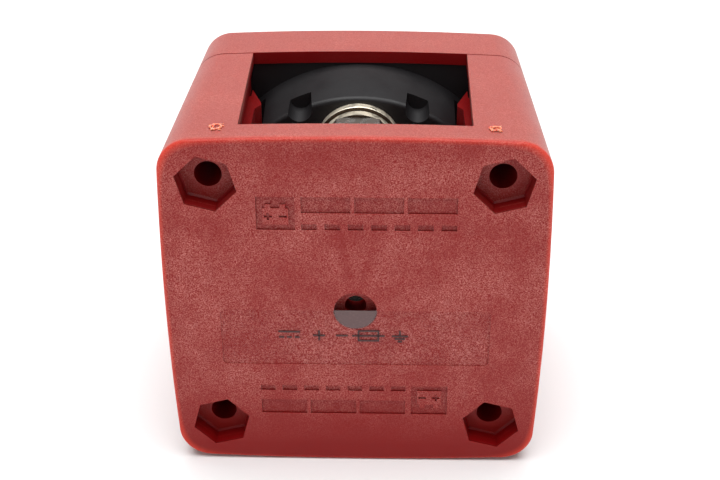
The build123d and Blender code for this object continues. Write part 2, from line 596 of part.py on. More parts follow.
# ---- terminals ----------------------------------------------------------------------------------
def terminal_stud(y):
    """Stud with an outer flange and an inner contact head, moulded through the drum's back wall."""
    free_end = NUT_LOW_HEIGHT - STUD_SHANK_REACH
    thread = disc(STUD_RADIUS, STUD_TIP_HEIGHT, free_end, 0, y)
    thread = chamfer(edges_at(thread, STUD_TIP_HEIGHT), STUD_TIP_CHAMFER)
    thread += disc(STUD_SHANK_RADIUS, free_end, CHAMBER_FLOOR, 0, y)
    flange = disc(FLANGE_RADIUS, DRUM_FACE_HEIGHT - FLANGE_THICKNESS, DRUM_FACE_HEIGHT, 0, y)
    flange = fillet(edges_at(flange, DRUM_FACE_HEIGHT - FLANGE_THICKNESS), FLANGE_ROUND)
    head = disc(STUD_HEAD_RADIUS, CHAMBER_FLOOR, CHAMBER_FLOOR + STUD_HEAD_THICKNESS, 0, y)
    head &= disc(CHAMBER_RADIUS - STUD_HEAD_WALL_GAP, CHAMBER_FLOOR, CHAMBER_FLOOR + STUD_HEAD_THICKNESS)
    return thread + flange + head


def stud_lock_washers():
    high = DRUM_FACE_HEIGHT - FLANGE_THICKNESS - SEAT_CLEARANCE
    washers = []
    for y in (-STUD_OFFSET, STUD_OFFSET):
        washer = ring(STUD_RADIUS + STUD_CLEARANCE, LOCK_WASHER_RADIUS, high - LOCK_WASHER_THICKNESS, high,
                      0, y)
        split = Pos(LOCK_WASHER_RADIUS / 2 + PAST, 0, high - LOCK_WASHER_THICKNESS / 2)
        split *= Rot(0, LOCK_WASHER_SLANT, 0)
        split *= Box(LOCK_WASHER_RADIUS + 2 * PAST, LOCK_WASHER_SPLIT, 2 * LOCK_WASHER_THICKNESS)
        washers.append(washer - Pos(0, y, 0) * Rot(0, 0, LOCK_WASHER_TURN) * split)
    return Compound(children=washers)


def stud_nuts():
    low = NUT_LOW_HEIGHT
    high = NUT_HIGH_HEIGHT
    corner = NUT_FLATS / 2 / math.cos(math.pi / 6)
    nuts = []
    for y in (-STUD_OFFSET, STUD_OFFSET):
        hexagon = extrude(RegularPolygon(corner, 6), amount=NUT_HEIGHT)
        rounding = disc(corner - NUT_ROUND_IN, 0, NUT_HEIGHT)
        ends = edges_at(rounding, 0) + edges_at(rounding, NUT_HEIGHT)
        rounding = chamfer(ends, NUT_ROUND_RISE, NUT_ROUND_RUN)
        nut = Pos(0, y, low) * (hexagon & rounding)
        nuts.append(nut - disc(STUD_RADIUS + STUD_CLEARANCE, low - PAST, high + PAST, 0, y))
    return Compound(children=nuts)


def fixed_contact_tips():
    low = CHAMBER_FLOOR + STUD_HEAD_THICKNESS
    tips = [disc(TIP_RADIUS, low, FIXED_TIP_TOP, 0, y) for y in (-STUD_OFFSET, STUD_OFFSET)]
    return Compound(children=tips)


# ---- moving contact -----------------------------------------------------------------------------
def contact_bridge():
    half = BRIDGE_WIDTH / 2
    bar = block(-BRIDGE_END_RADIUS, BRIDGE_END_RADIUS, -half, half, BRIDGE_BOTTOM, BRIDGE_TOP)
    bar &= disc(BRIDGE_END_RADIUS, BRIDGE_BOTTOM, BRIDGE_TOP)
    return chamfer(edges_at(bar, BRIDGE_TOP), BRIDGE_CHAMFER)


def moving_contact_tips():
    low = BRIDGE_BOTTOM - MOVING_TIP_THICKNESS
    tips = []
    for x in (-STUD_OFFSET, STUD_OFFSET):
        tip = disc(TIP_RADIUS, low, BRIDGE_BOTTOM, x, 0)
        tips.append(fillet(edges_at(tip, low), MOVING_TIP_ROUND))
    return Compound(children=tips)


def spring_seat():
    """Insulating seat on the bridge with a spigot that centres the spring."""
    flange = disc(SPRING_POCKET_RADIUS - SPRING_SEAT_SIDE_GAP, BRIDGE_TOP, BRIDGE_TOP + SPRING_SEAT_THICKNESS)
    spigot = CONTACT_SPRING_RADIUS - CONTACT_SPRING_WIRE / 2 - SPIGOT_CLEARANCE
    return flange + disc(spigot, BRIDGE_TOP, BRIDGE_TOP + SPRING_SEAT_THICKNESS + SPIGOT_RISE)


def coil(mean_radius, wire, low, high, turns):
    """Compression spring between two heights, closed solid, one wire sweep."""
    rise = high - low - wire
    path = Helix(pitch=rise / turns, height=rise, radius=mean_radius)
    section = Plane(origin=path @ 0, z_dir=path % 0) * Circle(wire / 2)
    return Pos(0, 0, low + wire / 2) * sweep(section, path=path, is_frenet=True)


def contact_spring():
    low = BRIDGE_TOP + SPRING_SEAT_THICKNESS + SEAT_CLEARANCE
    high = DISC_HEIGHT + DISC_THICKNESS - SEAT_CLEARANCE
    return coil(CONTACT_SPRING_RADIUS, CONTACT_SPRING_WIRE, low, high, CONTACT_SPRING_TURNS)


# ---- rotor --------------------------------------------------------------------------------------
def ball_places():
    return [(0, -DETENT_CIRCLE), (0, DETENT_CIRCLE)]


def rotor():
    """Disc with a forked hub below for the bridge and a sealed shaft with a square drive above."""
    disc_top = DISC_HEIGHT + DISC_THICKNESS
    body = disc(DISC_RADIUS, DISC_HEIGHT, disc_top)
    body += disc(HUB_RADIUS, CHAMBER_FLOOR + HUB_FLOOR_GAP, HUB_TOP_HEIGHT)
    body += disc(SHAFT_RADIUS, HUB_TOP_HEIGHT, DIAL_HEIGHT)
    drive = RectangleRounded(DRIVE_SQUARE, DRIVE_SQUARE, DRIVE_CORNER)
    body += Pos(0, 0, DIAL_HEIGHT - PAST) * extrude(drive, amount=DRIVE_HEIGHT - DIAL_HEIGHT + PAST)
    slot_half = BRIDGE_WIDTH / 2 + BRIDGE_SIDE_CLEARANCE
    slot_top = BRIDGE_TOP + BRIDGE_FLOAT + BRIDGE_TOP_GAP
    body -= block(-HUB_RADIUS - PAST, HUB_RADIUS + PAST, -slot_half, slot_half, CHAMBER_FLOOR, slot_top)
    body -= disc(SPRING_POCKET_RADIUS, CHAMBER_FLOOR, disc_top)
    for x, y in ball_places():
        body += disc(BALL_BOSS_RADIUS, BALL_BOSS_FLOOR_HEIGHT, BALL_BOSS_TOP_HEIGHT, x, y)
        body -= disc(BALL_RADIUS + BALL_CLEARANCE, BALL_POCKET_FLOOR, BALL_BOSS_TOP_HEIGHT + PAST, x, y)
    groove_low = O_RING_HEIGHT - O_RING_SECTION / 2 - O_RING_SIDE_GAP
    groove_high = O_RING_HEIGHT + O_RING_SECTION / 2 + O_RING_SIDE_GAP
    groove_floor = SHAFT_RADIUS - O_RING_SECTION + O_RING_DEPTH_GAP
    body -= ring(groove_floor, SHAFT_RADIUS + PAST, groove_low, groove_high)
    thread_low = SCREW_SEAT_HEIGHT - KNOB_SCREW_LENGTH - 1
    return body - disc(KNOB_SCREW_RADIUS + SCREW_CLEARANCE, thread_low, DRIVE_HEIGHT + PAST)


def shaft_o_ring():
    middle = SHAFT_RADIUS - O_RING_SECTION / 2 + O_RING_DEPTH_GAP + O_RING_SHRINK
    return Pos(0, 0, O_RING_HEIGHT) * Torus(middle, O_RING_SECTION / 2 - O_RING_SHRINK)


def thrust_washer():
    low = HUB_TOP_HEIGHT + WASHER_RUNNING_GAP
    return ring(SHAFT_RADIUS + WASHER_BORE_CLEARANCE, HUB_RADIUS, low, low + WASHER_THICKNESS)


def detent_plate():
    """Steel ring fixed under the front housing, with four seats for the detent balls."""
    seat_radius = math.sqrt(BALL_RADIUS ** 2 - (BALL_RADIUS - BALL_DROP) ** 2) + BALL_SEAT_CLEARANCE
    plate = ring(DETENT_PLATE_INNER, DETENT_PLATE_OUTER, DETENT_PLATE_HEIGHT, FRONT_PLATE_BACK)
    for turn in (0, 90, 180, 270):
        x, y = on_circle(DETENT_CIRCLE, turn)
        plate -= disc(seat_radius, DETENT_PLATE_HEIGHT - PAST, FRONT_PLATE_BACK + PAST, x, y)
    for x, y in detent_pins():
        hole = DETENT_PIN_RADIUS + SCREW_CLEARANCE
        plate -= disc(hole, DETENT_PLATE_HEIGHT - PAST, FRONT_PLATE_BACK + PAST, x, y)
    return plate


def detent_ball(x, y):
    return Pos(x, y, BALL_HEIGHT) * Sphere(BALL_RADIUS)


def detent_spring(x, y):
    low = BALL_POCKET_FLOOR + SEAT_CLEARANCE
    high = BALL_HEIGHT - BALL_RADIUS - SEAT_CLEARANCE
    return Pos(x, y, 0) * coil(BALL_SPRING_RADIUS, BALL_SPRING_WIRE, low, high, BALL_SPRING_TURNS)


# ---- knob ---------------------------------------------------------------------------------------
def knob():
    """Round skirt with a straight grip across it, hollow below, with a square drive socket."""
    grip_bottom = DIAL_HEIGHT + GRIP_LIFT
    skirt_top = KNOB_BOTTOM + KNOB_SKIRT_HEIGHT
    skirt = disc(KNOB_SKIRT_RADIUS, KNOB_BOTTOM, skirt_top)
    skirt = fillet(edges_at(skirt, skirt_top), KNOB_SKIRT_ROUND)
    grip = Pos(0, 0, grip_bottom) * extrude(RectangleRounded(GRIP_LENGTH, GRIP_WIDTH, GRIP_CORNER),
                                            amount=TOTAL_HEIGHT - grip_bottom, taper=GRIP_TAPER)
    grip = fillet(edges_at(grip, TOTAL_HEIGHT), GRIP_TOP_ROUND)
    body = skirt + grip
    hollow = disc(KNOB_SKIRT_RADIUS - KNOB_WALL, KNOB_BOTTOM - PAST, skirt_top - KNOB_WALL)
    wall = 2 * (KNOB_WALL + GRIP_HOLLOW_IN)
    hollow += Pos(0, 0, KNOB_BOTTOM - PAST) * extrude(
        RectangleRounded(GRIP_LENGTH - wall, GRIP_WIDTH - wall, GRIP_HOLLOW_CORNER),
        amount=CAP_SEAT_HEIGHT - KNOB_BOTTOM - 2 * KNOB_WALL)
    hollow -= disc(KNOB_BOSS_RADIUS, KNOB_BOTTOM - 2 * PAST, TOTAL_HEIGHT)
    body -= hollow
    socket = DRIVE_SQUARE + 2 * DRIVE_CLEARANCE
    depth = DRIVE_HEIGHT + DRIVE_END_GAP - KNOB_BOTTOM
    body -= Pos(0, 0, KNOB_BOTTOM - PAST) * extrude(RectangleRounded(socket, socket, DRIVE_CORNER),
                                                    amount=depth + PAST)
    body -= disc(KNOB_SCREW_RADIUS + KNOB_SCREW_CLEARANCE, DRIVE_HEIGHT - PAST, TOTAL_HEIGHT)
    body -= disc(KNOB_SCREW_HEAD_RADIUS + 2 * KNOB_SCREW_CLEARANCE, SCREW_SEAT_HEIGHT, TOTAL_HEIGHT)
    body -= disc(KNOB_CAP_RADIUS + SEAT_CLEARANCE, CAP_SEAT_HEIGHT, TOTAL_HEIGHT + PAST)
    return body - pointer_shape(SEAT_CLEARANCE)


def pointer_shape(grow):
    end = GRIP_LENGTH / 2 - POINTER_END
    half = POINTER_WIDTH / 2 + grow
    return block(end - POINTER_LENGTH - grow, end + grow, -half, half, TOTAL_HEIGHT - POINTER_DEPTH - grow,
                 TOTAL_HEIGHT)


def knob_screw():
    low = SCREW_SEAT_HEIGHT - KNOB_SCREW_LENGTH
    top = SCREW_SEAT_HEIGHT + KNOB_SCREW_HEAD_HEIGHT
    head = disc(KNOB_SCREW_HEAD_RADIUS, SCREW_SEAT_HEIGHT + SEAT_CLEARANCE, top)
    head = fillet(edges_at(head, top), KNOB_SCREW_HEAD_ROUND)
    long = KNOB_SCREW_CROSS_HALF
    wide = KNOB_SCREW_CROSS_WIDTH / 2
    cross_low = top - KNOB_SCREW_CROSS_DEPTH
    cross = block(-long, long, -wide, wide, cross_low, top + PAST)
    cross += block(-wide, wide, -long, long, cross_low, top + PAST)
    return head - cross + disc(KNOB_SCREW_RADIUS, low, SCREW_SEAT_HEIGHT + SEAT_CLEARANCE)


def knob_cap():
    cap = disc(KNOB_CAP_RADIUS, CAP_SEAT_HEIGHT + SEAT_CLEARANCE, TOTAL_HEIGHT)
    return fillet(edges_at(cap, TOTAL_HEIGHT), KNOB_CAP_ROUND)


def build_all():
    pieces = {
        "isolating_cover": isolating_cover(),
        "clear_label": base_label(),
        "front_housing": front_housing(),
        "dial_label": dial_label(),
        "rear_housing": rear_housing(),
        "housing_screws": housing_screws(),
        "housing_gasket": housing_gasket(),
        "line_stud": terminal_stud(-STUD_OFFSET),
        "load_stud": terminal_stud(STUD_OFFSET),
        "stud_lock_washers": stud_lock_washers(),
        "stud_nuts": stud_nuts(),
        "fixed_contact_tips": fixed_contact_tips(),
        "detent_plate": detent_plate(),
        "thrust_washer": thrust_washer(),
        "rotor": rotor(),
        "shaft_o_ring": shaft_o_ring(),
        "contact_bridge": contact_bridge(),
        "moving_contact_tips": moving_contact_tips(),
        "spring_seat": spring_seat(),
        "contact_spring": contact_spring(),
        "knob": knob(),
        "knob_pointer": pointer_shape(0),
        "knob_screw": knob_screw(),
        "knob_cap": knob_cap(),
    }
    for name, (x, y) in zip(("upper", "lower"), ball_places()):
        pieces["detent_ball_" + name] = detent_ball(x, y)
        pieces["detent_spring_" + name] = detent_spring(x, y)
    return pieces


os.makedirs("parts", exist_ok=True)
for node, piece in build_all().items():
    export_step(stand(piece), "parts/" + node + ".step")
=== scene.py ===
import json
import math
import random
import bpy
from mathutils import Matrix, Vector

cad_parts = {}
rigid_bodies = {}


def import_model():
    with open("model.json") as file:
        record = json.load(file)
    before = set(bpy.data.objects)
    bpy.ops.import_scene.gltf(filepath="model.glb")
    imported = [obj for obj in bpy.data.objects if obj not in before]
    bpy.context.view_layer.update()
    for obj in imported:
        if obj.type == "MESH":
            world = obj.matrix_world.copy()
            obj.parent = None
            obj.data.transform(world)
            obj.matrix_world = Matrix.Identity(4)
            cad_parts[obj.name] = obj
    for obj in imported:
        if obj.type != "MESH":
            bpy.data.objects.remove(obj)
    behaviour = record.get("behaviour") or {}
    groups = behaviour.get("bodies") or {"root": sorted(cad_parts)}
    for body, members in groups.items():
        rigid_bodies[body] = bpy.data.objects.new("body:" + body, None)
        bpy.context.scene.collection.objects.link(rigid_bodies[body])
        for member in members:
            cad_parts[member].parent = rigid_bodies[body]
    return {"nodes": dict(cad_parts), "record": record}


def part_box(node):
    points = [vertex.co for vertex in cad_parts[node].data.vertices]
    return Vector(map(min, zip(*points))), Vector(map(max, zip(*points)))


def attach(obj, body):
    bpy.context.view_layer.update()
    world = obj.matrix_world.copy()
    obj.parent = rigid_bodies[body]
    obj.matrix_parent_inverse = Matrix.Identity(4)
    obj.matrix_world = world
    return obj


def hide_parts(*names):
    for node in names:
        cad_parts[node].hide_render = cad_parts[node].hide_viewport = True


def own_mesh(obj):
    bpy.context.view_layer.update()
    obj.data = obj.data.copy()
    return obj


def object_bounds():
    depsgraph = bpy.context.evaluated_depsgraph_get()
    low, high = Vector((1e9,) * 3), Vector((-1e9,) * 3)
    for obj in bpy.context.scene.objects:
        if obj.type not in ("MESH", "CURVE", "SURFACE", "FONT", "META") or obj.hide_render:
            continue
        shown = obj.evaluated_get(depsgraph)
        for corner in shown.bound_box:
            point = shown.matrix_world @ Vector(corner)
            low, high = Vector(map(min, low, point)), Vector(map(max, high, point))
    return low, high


bl_info = {
    "name": "Battery Switch Finish",
    "version": (1, 0, 0),
    "blender": (4, 5, 0),
    "location": "View3D > Sidebar > Switch",
    "description": "Materials, threads, marks and studio for a two-stud battery switch",
    "category": "Object",
}

import bmesh
import bpy
from bpy.props import FloatProperty, FloatVectorProperty, IntProperty, PointerProperty
from mathutils import Matrix, Vector

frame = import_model()
CAD_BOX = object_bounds()
MM = 0.001
SEED = 11
MERGE_DISTANCE = 1e-7           # metres, far below any real gap

PARTING = 42.0 * MM             # depth of the line between the cover and the front housing
MARK_DEPTH = 0.3 * MM           # how deep the signs are sunk in the mounting face
MARK_INNER = 12.5 * MM          # the signs stand further than this above and below the middle
POCKET_FLOORS = (2.0 * MM, 4.0 * MM)    # depths of the centre sink and the nut pockets
CENTRE_SINK_RADIUS = 3.9 * MM
SIDE_BOW = 0.9 * MM             # how far the base's sides stand out in their middle
CORNER_POWER = 12.0             # turns the base's bowed square outline into one level
STUD_RADIUS = 4.76 * MM

# Nodes of the frame, by what they are made of.
RED_NODES = ("isolating_cover", "front_housing", "knob", "knob_cap")
BLACK_NODES = ("rear_housing",)
STEEL_NODES = ("stud_nuts", "thrust_washer", "detent_plate", "knob_screw")
BALL_NODES = ("detent_ball_upper", "detent_ball_lower")
SPRING_NODES = ("contact_spring", "detent_spring_upper", "detent_spring_lower")
RUBBER_NODES = ("shaft_o_ring", "housing_gasket")
ACETAL_NODES = ("rotor", "spring_seat")
SILVER_NODES = ("fixed_contact_tips", "moving_contact_tips")


# ---- settings -----------------------------------------------------------------------------------
class RedPlasticSettings(bpy.types.PropertyGroup):
    """Finish of the translucent red moulded plastic."""

    colour: FloatVectorProperty(
        name="Colour", description="Red of the plastic under its grain",
        subtype="COLOR", default=(0.23, 0.006, 0.005), min=0.0, max=1.0)
    # Fleck colour: the grain's pale high spots, and also a painted sheen, since the same pale colour
    # stands for reflected light on the outer faces.
    fleck_and_sheen: FloatVectorProperty(
        name="Fleck", description="Pale colour of the spark-eroded grain's high spots",
        subtype="COLOR", default=(0.64, 0.235, 0.20), min=0.0, max=1.0)
    inside: FloatVectorProperty(
        name="Inside", description="Deeper red of the smooth faces inside the cover",
        subtype="COLOR", default=(0.20, 0.0015, 0.0025), min=0.0, max=1.0)
    # Edge: colour painted on the base's thin edge as a glow, standing for light passing through the
    # plastic.
    edge: FloatVectorProperty(
        name="Edge", description="Orange glow of light passing through the base's thin edge",
        subtype="COLOR", default=(0.74, 0.06, 0.03), min=0.0, max=1.0)
    grain: FloatProperty(
        name="Grain size", description="Size of one grain on the mounting face",
        unit="LENGTH", default=0.25 * MM, min=0.05 * MM)
    roughness: FloatProperty(
        name="Roughness", description="Roughness of the moulded surface",
        subtype="FACTOR", default=0.42, min=0.0, max=1.0)
    glow: FloatProperty(
        name="Glow depth", description="How far light travels inside the plastic",
        unit="LENGTH", default=1.2 * MM, min=0.0)


class BlackPlasticSettings(bpy.types.PropertyGroup):
    """Finish of the glass-filled black plastic."""

    colour: FloatVectorProperty(
        name="Colour", description="Colour of the black plastic",
        subtype="COLOR", default=(0.009, 0.008, 0.009), min=0.0, max=1.0)
    roughness: FloatProperty(
        name="Roughness", description="Roughness of the black plastic",
        subtype="FACTOR", default=0.5, min=0.0, max=1.0)


class StudSettings(bpy.types.PropertyGroup):
    """Thread and flange of the two terminal studs."""

    pitch: FloatProperty(
        name="Thread pitch", description="Distance between two turns of the thread",
        unit="LENGTH", default=1.5875 * MM, min=0.3 * MM)
    depth: FloatProperty(
        name="Thread depth", description="Depth of the thread below the stud's radius",
        unit="LENGTH", default=0.86 * MM, min=0.1 * MM)
    turn_steps: IntProperty(
        name="Steps a turn", description="Steps in one turn of the thread",
        default=40, min=12)


class KnobSettings(bpy.types.PropertyGroup):
    """Finger ribs along the knob's grip."""

    ribs: IntProperty(
        name="Ribs", description="Finger ribs on each side of the grip", default=13, min=2)
    pitch: FloatProperty(
        name="Rib pitch", description="Distance between two ribs",
        unit="LENGTH", default=2.9 * MM, min=0.5 * MM)
    radius: FloatProperty(
        name="Rib radius", description="Radius of a rib's round section",
        unit="LENGTH", default=0.6 * MM, min=0.1 * MM)


class DialSettings(bpy.types.PropertyGroup):
    """Printed marks round the dial."""

    ticks: IntProperty(
        name="Ticks", description="Short lines along the turn from off to on", default=9, min=2)
    tick_length: FloatProperty(
        name="Tick length", description="Length of a short line",
        unit="LENGTH", default=2.0 * MM, min=0.1 * MM)
    tick_width: FloatProperty(
        name="Tick width", description="Width of a short line",
        unit="LENGTH", default=0.45 * MM, min=0.05 * MM)
    relief: FloatProperty(
        name="Ink relief", description="Thickness of the printed ink",
        unit="LENGTH", default=0.06 * MM, min=0.01 * MM)


class StudioSettings(bpy.types.PropertyGroup):
    """Floor, lights and camera."""

    floor_colour: FloatVectorProperty(
        name="Floor", description="Colour of the plain floor",
        subtype="COLOR", default=(0.85, 0.85, 0.85), min=0.0, max=1.0)
    world_strength: FloatProperty(
        name="Surroundings", description="Brightness of the plain surroundings overhead",
        default=0.12, min=0.0)
    horizon_strength: FloatProperty(
        name="Horizon", description="Brightness of the plain surroundings at the horizon",
        default=1.0, min=0.0)
    top_power: FloatProperty(
        name="Top light", description="Power of the soft light above and behind",
        unit="POWER", default=112.0, min=0.0)
    front_power: FloatProperty(
        name="Front light", description="Power of the soft light beside the camera",
        unit="POWER", default=0.12, min=0.0)
    lens: FloatProperty(
        name="Lens", description="Focal length in millimetres on a 36 mm sensor",
        default=64.18, min=10.0)
    place: FloatVectorProperty(
        name="Camera place", description="Where the camera stands",
        subtype="TRANSLATION", unit="LENGTH", default=(5.505 * MM, -195.27 * MM, 129.24 * MM))
    turn: FloatVectorProperty(
        name="Camera turn", description="How the camera is turned, about X, Y and Z",
        subtype="EULER", unit="ROTATION",
        default=(math.radians(59.674), math.radians(0.143), math.radians(1.268)))


# ---- node material helper -----------------------------------------------------------------------
class Finish:
    """One node material whose patterns read Object coordinates."""

    def __init__(self, name):
        self.material = bpy.data.materials.new(name)
        self.material.use_nodes = True
        self.tree = self.material.node_tree
        self.shader = self.tree.nodes["Principled BSDF"]
        self.place = self.add("ShaderNodeTexCoord").outputs["Object"]

    def add(self, kind, **settings):
        """A new node with its own settings made."""
        node = self.tree.nodes.new(kind)
        for key, value in settings.items():
            setattr(node, key, value)
        return node

    def feed(self, socket, value):
        """Links another node's socket, or sets a plain value."""
        if isinstance(value, bpy.types.NodeSocket):
            self.tree.links.new(value, socket)
        else:
            socket.default_value = value

    def fix(self, **values):
        """Sets plain numbers on the shader's own sockets."""
        for key, value in values.items():
            self.shader.inputs[key.replace("_", " ")].default_value = value

    def axis(self, letter):
        """One of the three coordinates."""
        node = self.add("ShaderNodeSeparateXYZ")
        self.feed(node.inputs["Vector"], self.place)
        return node.outputs[letter]

    def scaled(self, scale):
        """Coordinates scaled along each axis, so that a pattern on them is drawn out."""
        node = self.add("ShaderNodeMapping")
        self.feed(node.inputs["Vector"], self.place)
        node.inputs["Scale"].default_value = scale
        return node.outputs["Vector"]

    def noise(self, size, detail=2.0, roughness=0.5, vector=None, distortion=0.0):
        """Noise whose largest blotches are about size across."""
        node = self.add("ShaderNodeTexNoise")
        self.feed(node.inputs["Vector"], vector or self.place)
        node.inputs["Scale"].default_value = 1.0 / size
        node.inputs["Detail"].default_value = detail
        node.inputs["Roughness"].default_value = roughness
        node.inputs["Distortion"].default_value = distortion
        return node.outputs["Fac"]

    def span(self, value, low, high, to_low=0.0, to_high=1.0):
        """Maps low to high onto to_low to to_high, level beyond both ends."""
        node = self.add("ShaderNodeMapRange")
        self.feed(node.inputs["Value"], value)
        node.inputs["From Min"].default_value = low
        node.inputs["From Max"].default_value = high
        node.inputs["To Min"].default_value = to_low
        node.inputs["To Max"].default_value = to_high
        return node.outputs["Result"]

    def math(self, operation, first, second=0.5):
        """One sum on sockets or numbers."""
        node = self.add("ShaderNodeMath", operation=operation)
        self.feed(node.inputs[0], first)
        self.feed(node.inputs[1], second)
        return node.outputs["Value"]

    def product(self, first, *others):
        """All the values multiplied together."""
        for other in others:
            first = self.math("MULTIPLY", first, other)
        return first

    def highest(self, first, *others):
        """The greatest of the values."""
        for other in others:
            first = self.math("MAXIMUM", first, other)
        return first

    def distance(self, value, place=0.0):
        """How far a value is from a place, either way."""
        return self.math("ABSOLUTE", self.math("SUBTRACT", value, place))

    def mix(self, factor, first, second):
        """Blends two colours, each a plain colour or a socket."""
        node = self.add("ShaderNodeMix", data_type="RGBA")
        self.feed(node.inputs["Factor"], factor)
        colours = [socket for socket in node.inputs if socket.type == "RGBA"]
        for socket, value in zip(colours, (first, second)):
            self.feed(socket, value if isinstance(value, bpy.types.NodeSocket) else (*value, 1.0))
        return next(socket for socket in node.outputs if socket.type == "RGBA")

    def bump(self, height, distance, strength=1.0):
        """Surface direction of a pattern standing as high as distance."""
        node = self.add("ShaderNodeBump")
        self.feed(node.inputs["Height"], height)
        node.inputs["Distance"].default_value = distance
        node.inputs["Strength"].default_value = strength
        return node.outputs["Normal"]

    def paint(self, colour, roughness, normal=None):
        """Feeds the shader and gives the finished material."""
        self.feed(self.shader.inputs["Base Color"], colour)
        self.feed(self.shader.inputs["Roughness"], roughness)
        if normal is not None:
            self.feed(self.shader.inputs["Normal"], normal)
        return self.material


# ---- materials ----------------------------------------------------------------------------------
def edge_measure(finish):
    """Distance from the mounting face's middle, counted so that its bowed edge is all one value."""
    half = (CAD_BOX[1].x - CAD_BOX[0].x) / 2
    across = finish.distance(finish.axis("X"))
    up = finish.distance(finish.axis("Z"))
    powers = []
    for main, other in ((across, up), (up, across)):
        bow = finish.product(other, other, SIDE_BOW / half ** 2)
        share = finish.math("DIVIDE", finish.math("ADD", main, bow), half)
        powers.append(finish.math("POWER", share, CORNER_POWER))
    return finish.math("POWER", finish.math("ADD", *powers), 1.0 / CORNER_POWER)


def flow_mark(finish):
    """Share of grain round the matt wedge above the centre hole, between two smooth bands."""
    foot, top = 4.5 * MM, 15.0 * MM
    smooth_share = 0.62
    up = finish.axis("Z")
    rise = finish.span(up, foot, top)
    middle = finish.span(rise, 0.0, 1.0, 0.3 * MM, 0.65 * MM)
    half = finish.span(rise, 0.0, 1.0, 0.0, 2.4 * MM)
    gap = finish.math("SUBTRACT", finish.distance(finish.axis("X"), middle), half)
    grained = finish.highest(
        finish.span(gap, -0.3 * MM, 0.3 * MM, 1.0, 0.0),
        finish.span(gap, 1.0 * MM, 2.6 * MM),
        finish.span(up, foot - 2.5 * MM, foot + 0.5 * MM, 1.0, 0.0),
        finish.span(up, top, top + 3.5 * MM),
        finish.span(finish.axis("Y"), 1.0 * MM, 2.0 * MM),
    )
    return finish.span(grained, 0.0, 1.0, smooth_share, 1.0)


def outer_share(finish, edge):
    """One on the outer walls, none inside them and in the groove at the parting line."""
    depth = finish.axis("Y")
    groove = finish.product(
        finish.span(depth, PARTING - 0.40 * MM, PARTING - 0.35 * MM),
        finish.span(depth, PARTING + 0.02 * MM, PARTING + 0.06 * MM, 1.0, 0.0),
    )
    return finish.product(finish.span(edge, 0.932, 0.945), finish.span(groove, 0.0, 1.0, 1.0, 0.0))


def inside_share(finish, outer):
    """One on the smooth faces inside the cover, none on outer walls and on the pockets' floors."""
    depth = finish.axis("Y")
    within = finish.product(
        finish.span(depth, MARK_DEPTH + 0.02 * MM, 2 * MARK_DEPTH),
        finish.span(depth, PARTING + 8 * MM, PARTING + 10 * MM, 1.0, 0.0),
    )
    for floor in POCKET_FLOORS:
        away = finish.distance(depth, floor)
        within = finish.product(within, finish.span(away, 0.05 * MM, 0.15 * MM))
    return finish.product(within, finish.math("SUBTRACT", 1.0, outer))


def sign_shade_share(finish, edge):
    """Where painted shade darkens the sunk signs: one on their walls, a quarter on their floors, none
    elsewhere.
    """
    depth = finish.axis("Y")
    return finish.product(
        finish.span(depth, 0.03 * MM, 0.08 * MM),
        finish.span(depth, MARK_DEPTH - 0.03 * MM, MARK_DEPTH - 0.005 * MM, 1.0, 0.25),
        finish.span(depth, MARK_DEPTH + 0.1 * MM, 2 * MARK_DEPTH, 1.0, 0.0),
        finish.span(edge, 0.95, 0.96, 1.0, 0.0),
        finish.span(finish.distance(finish.axis("Z")), MARK_INNER, MARK_INNER + 1.5 * MM),
    )


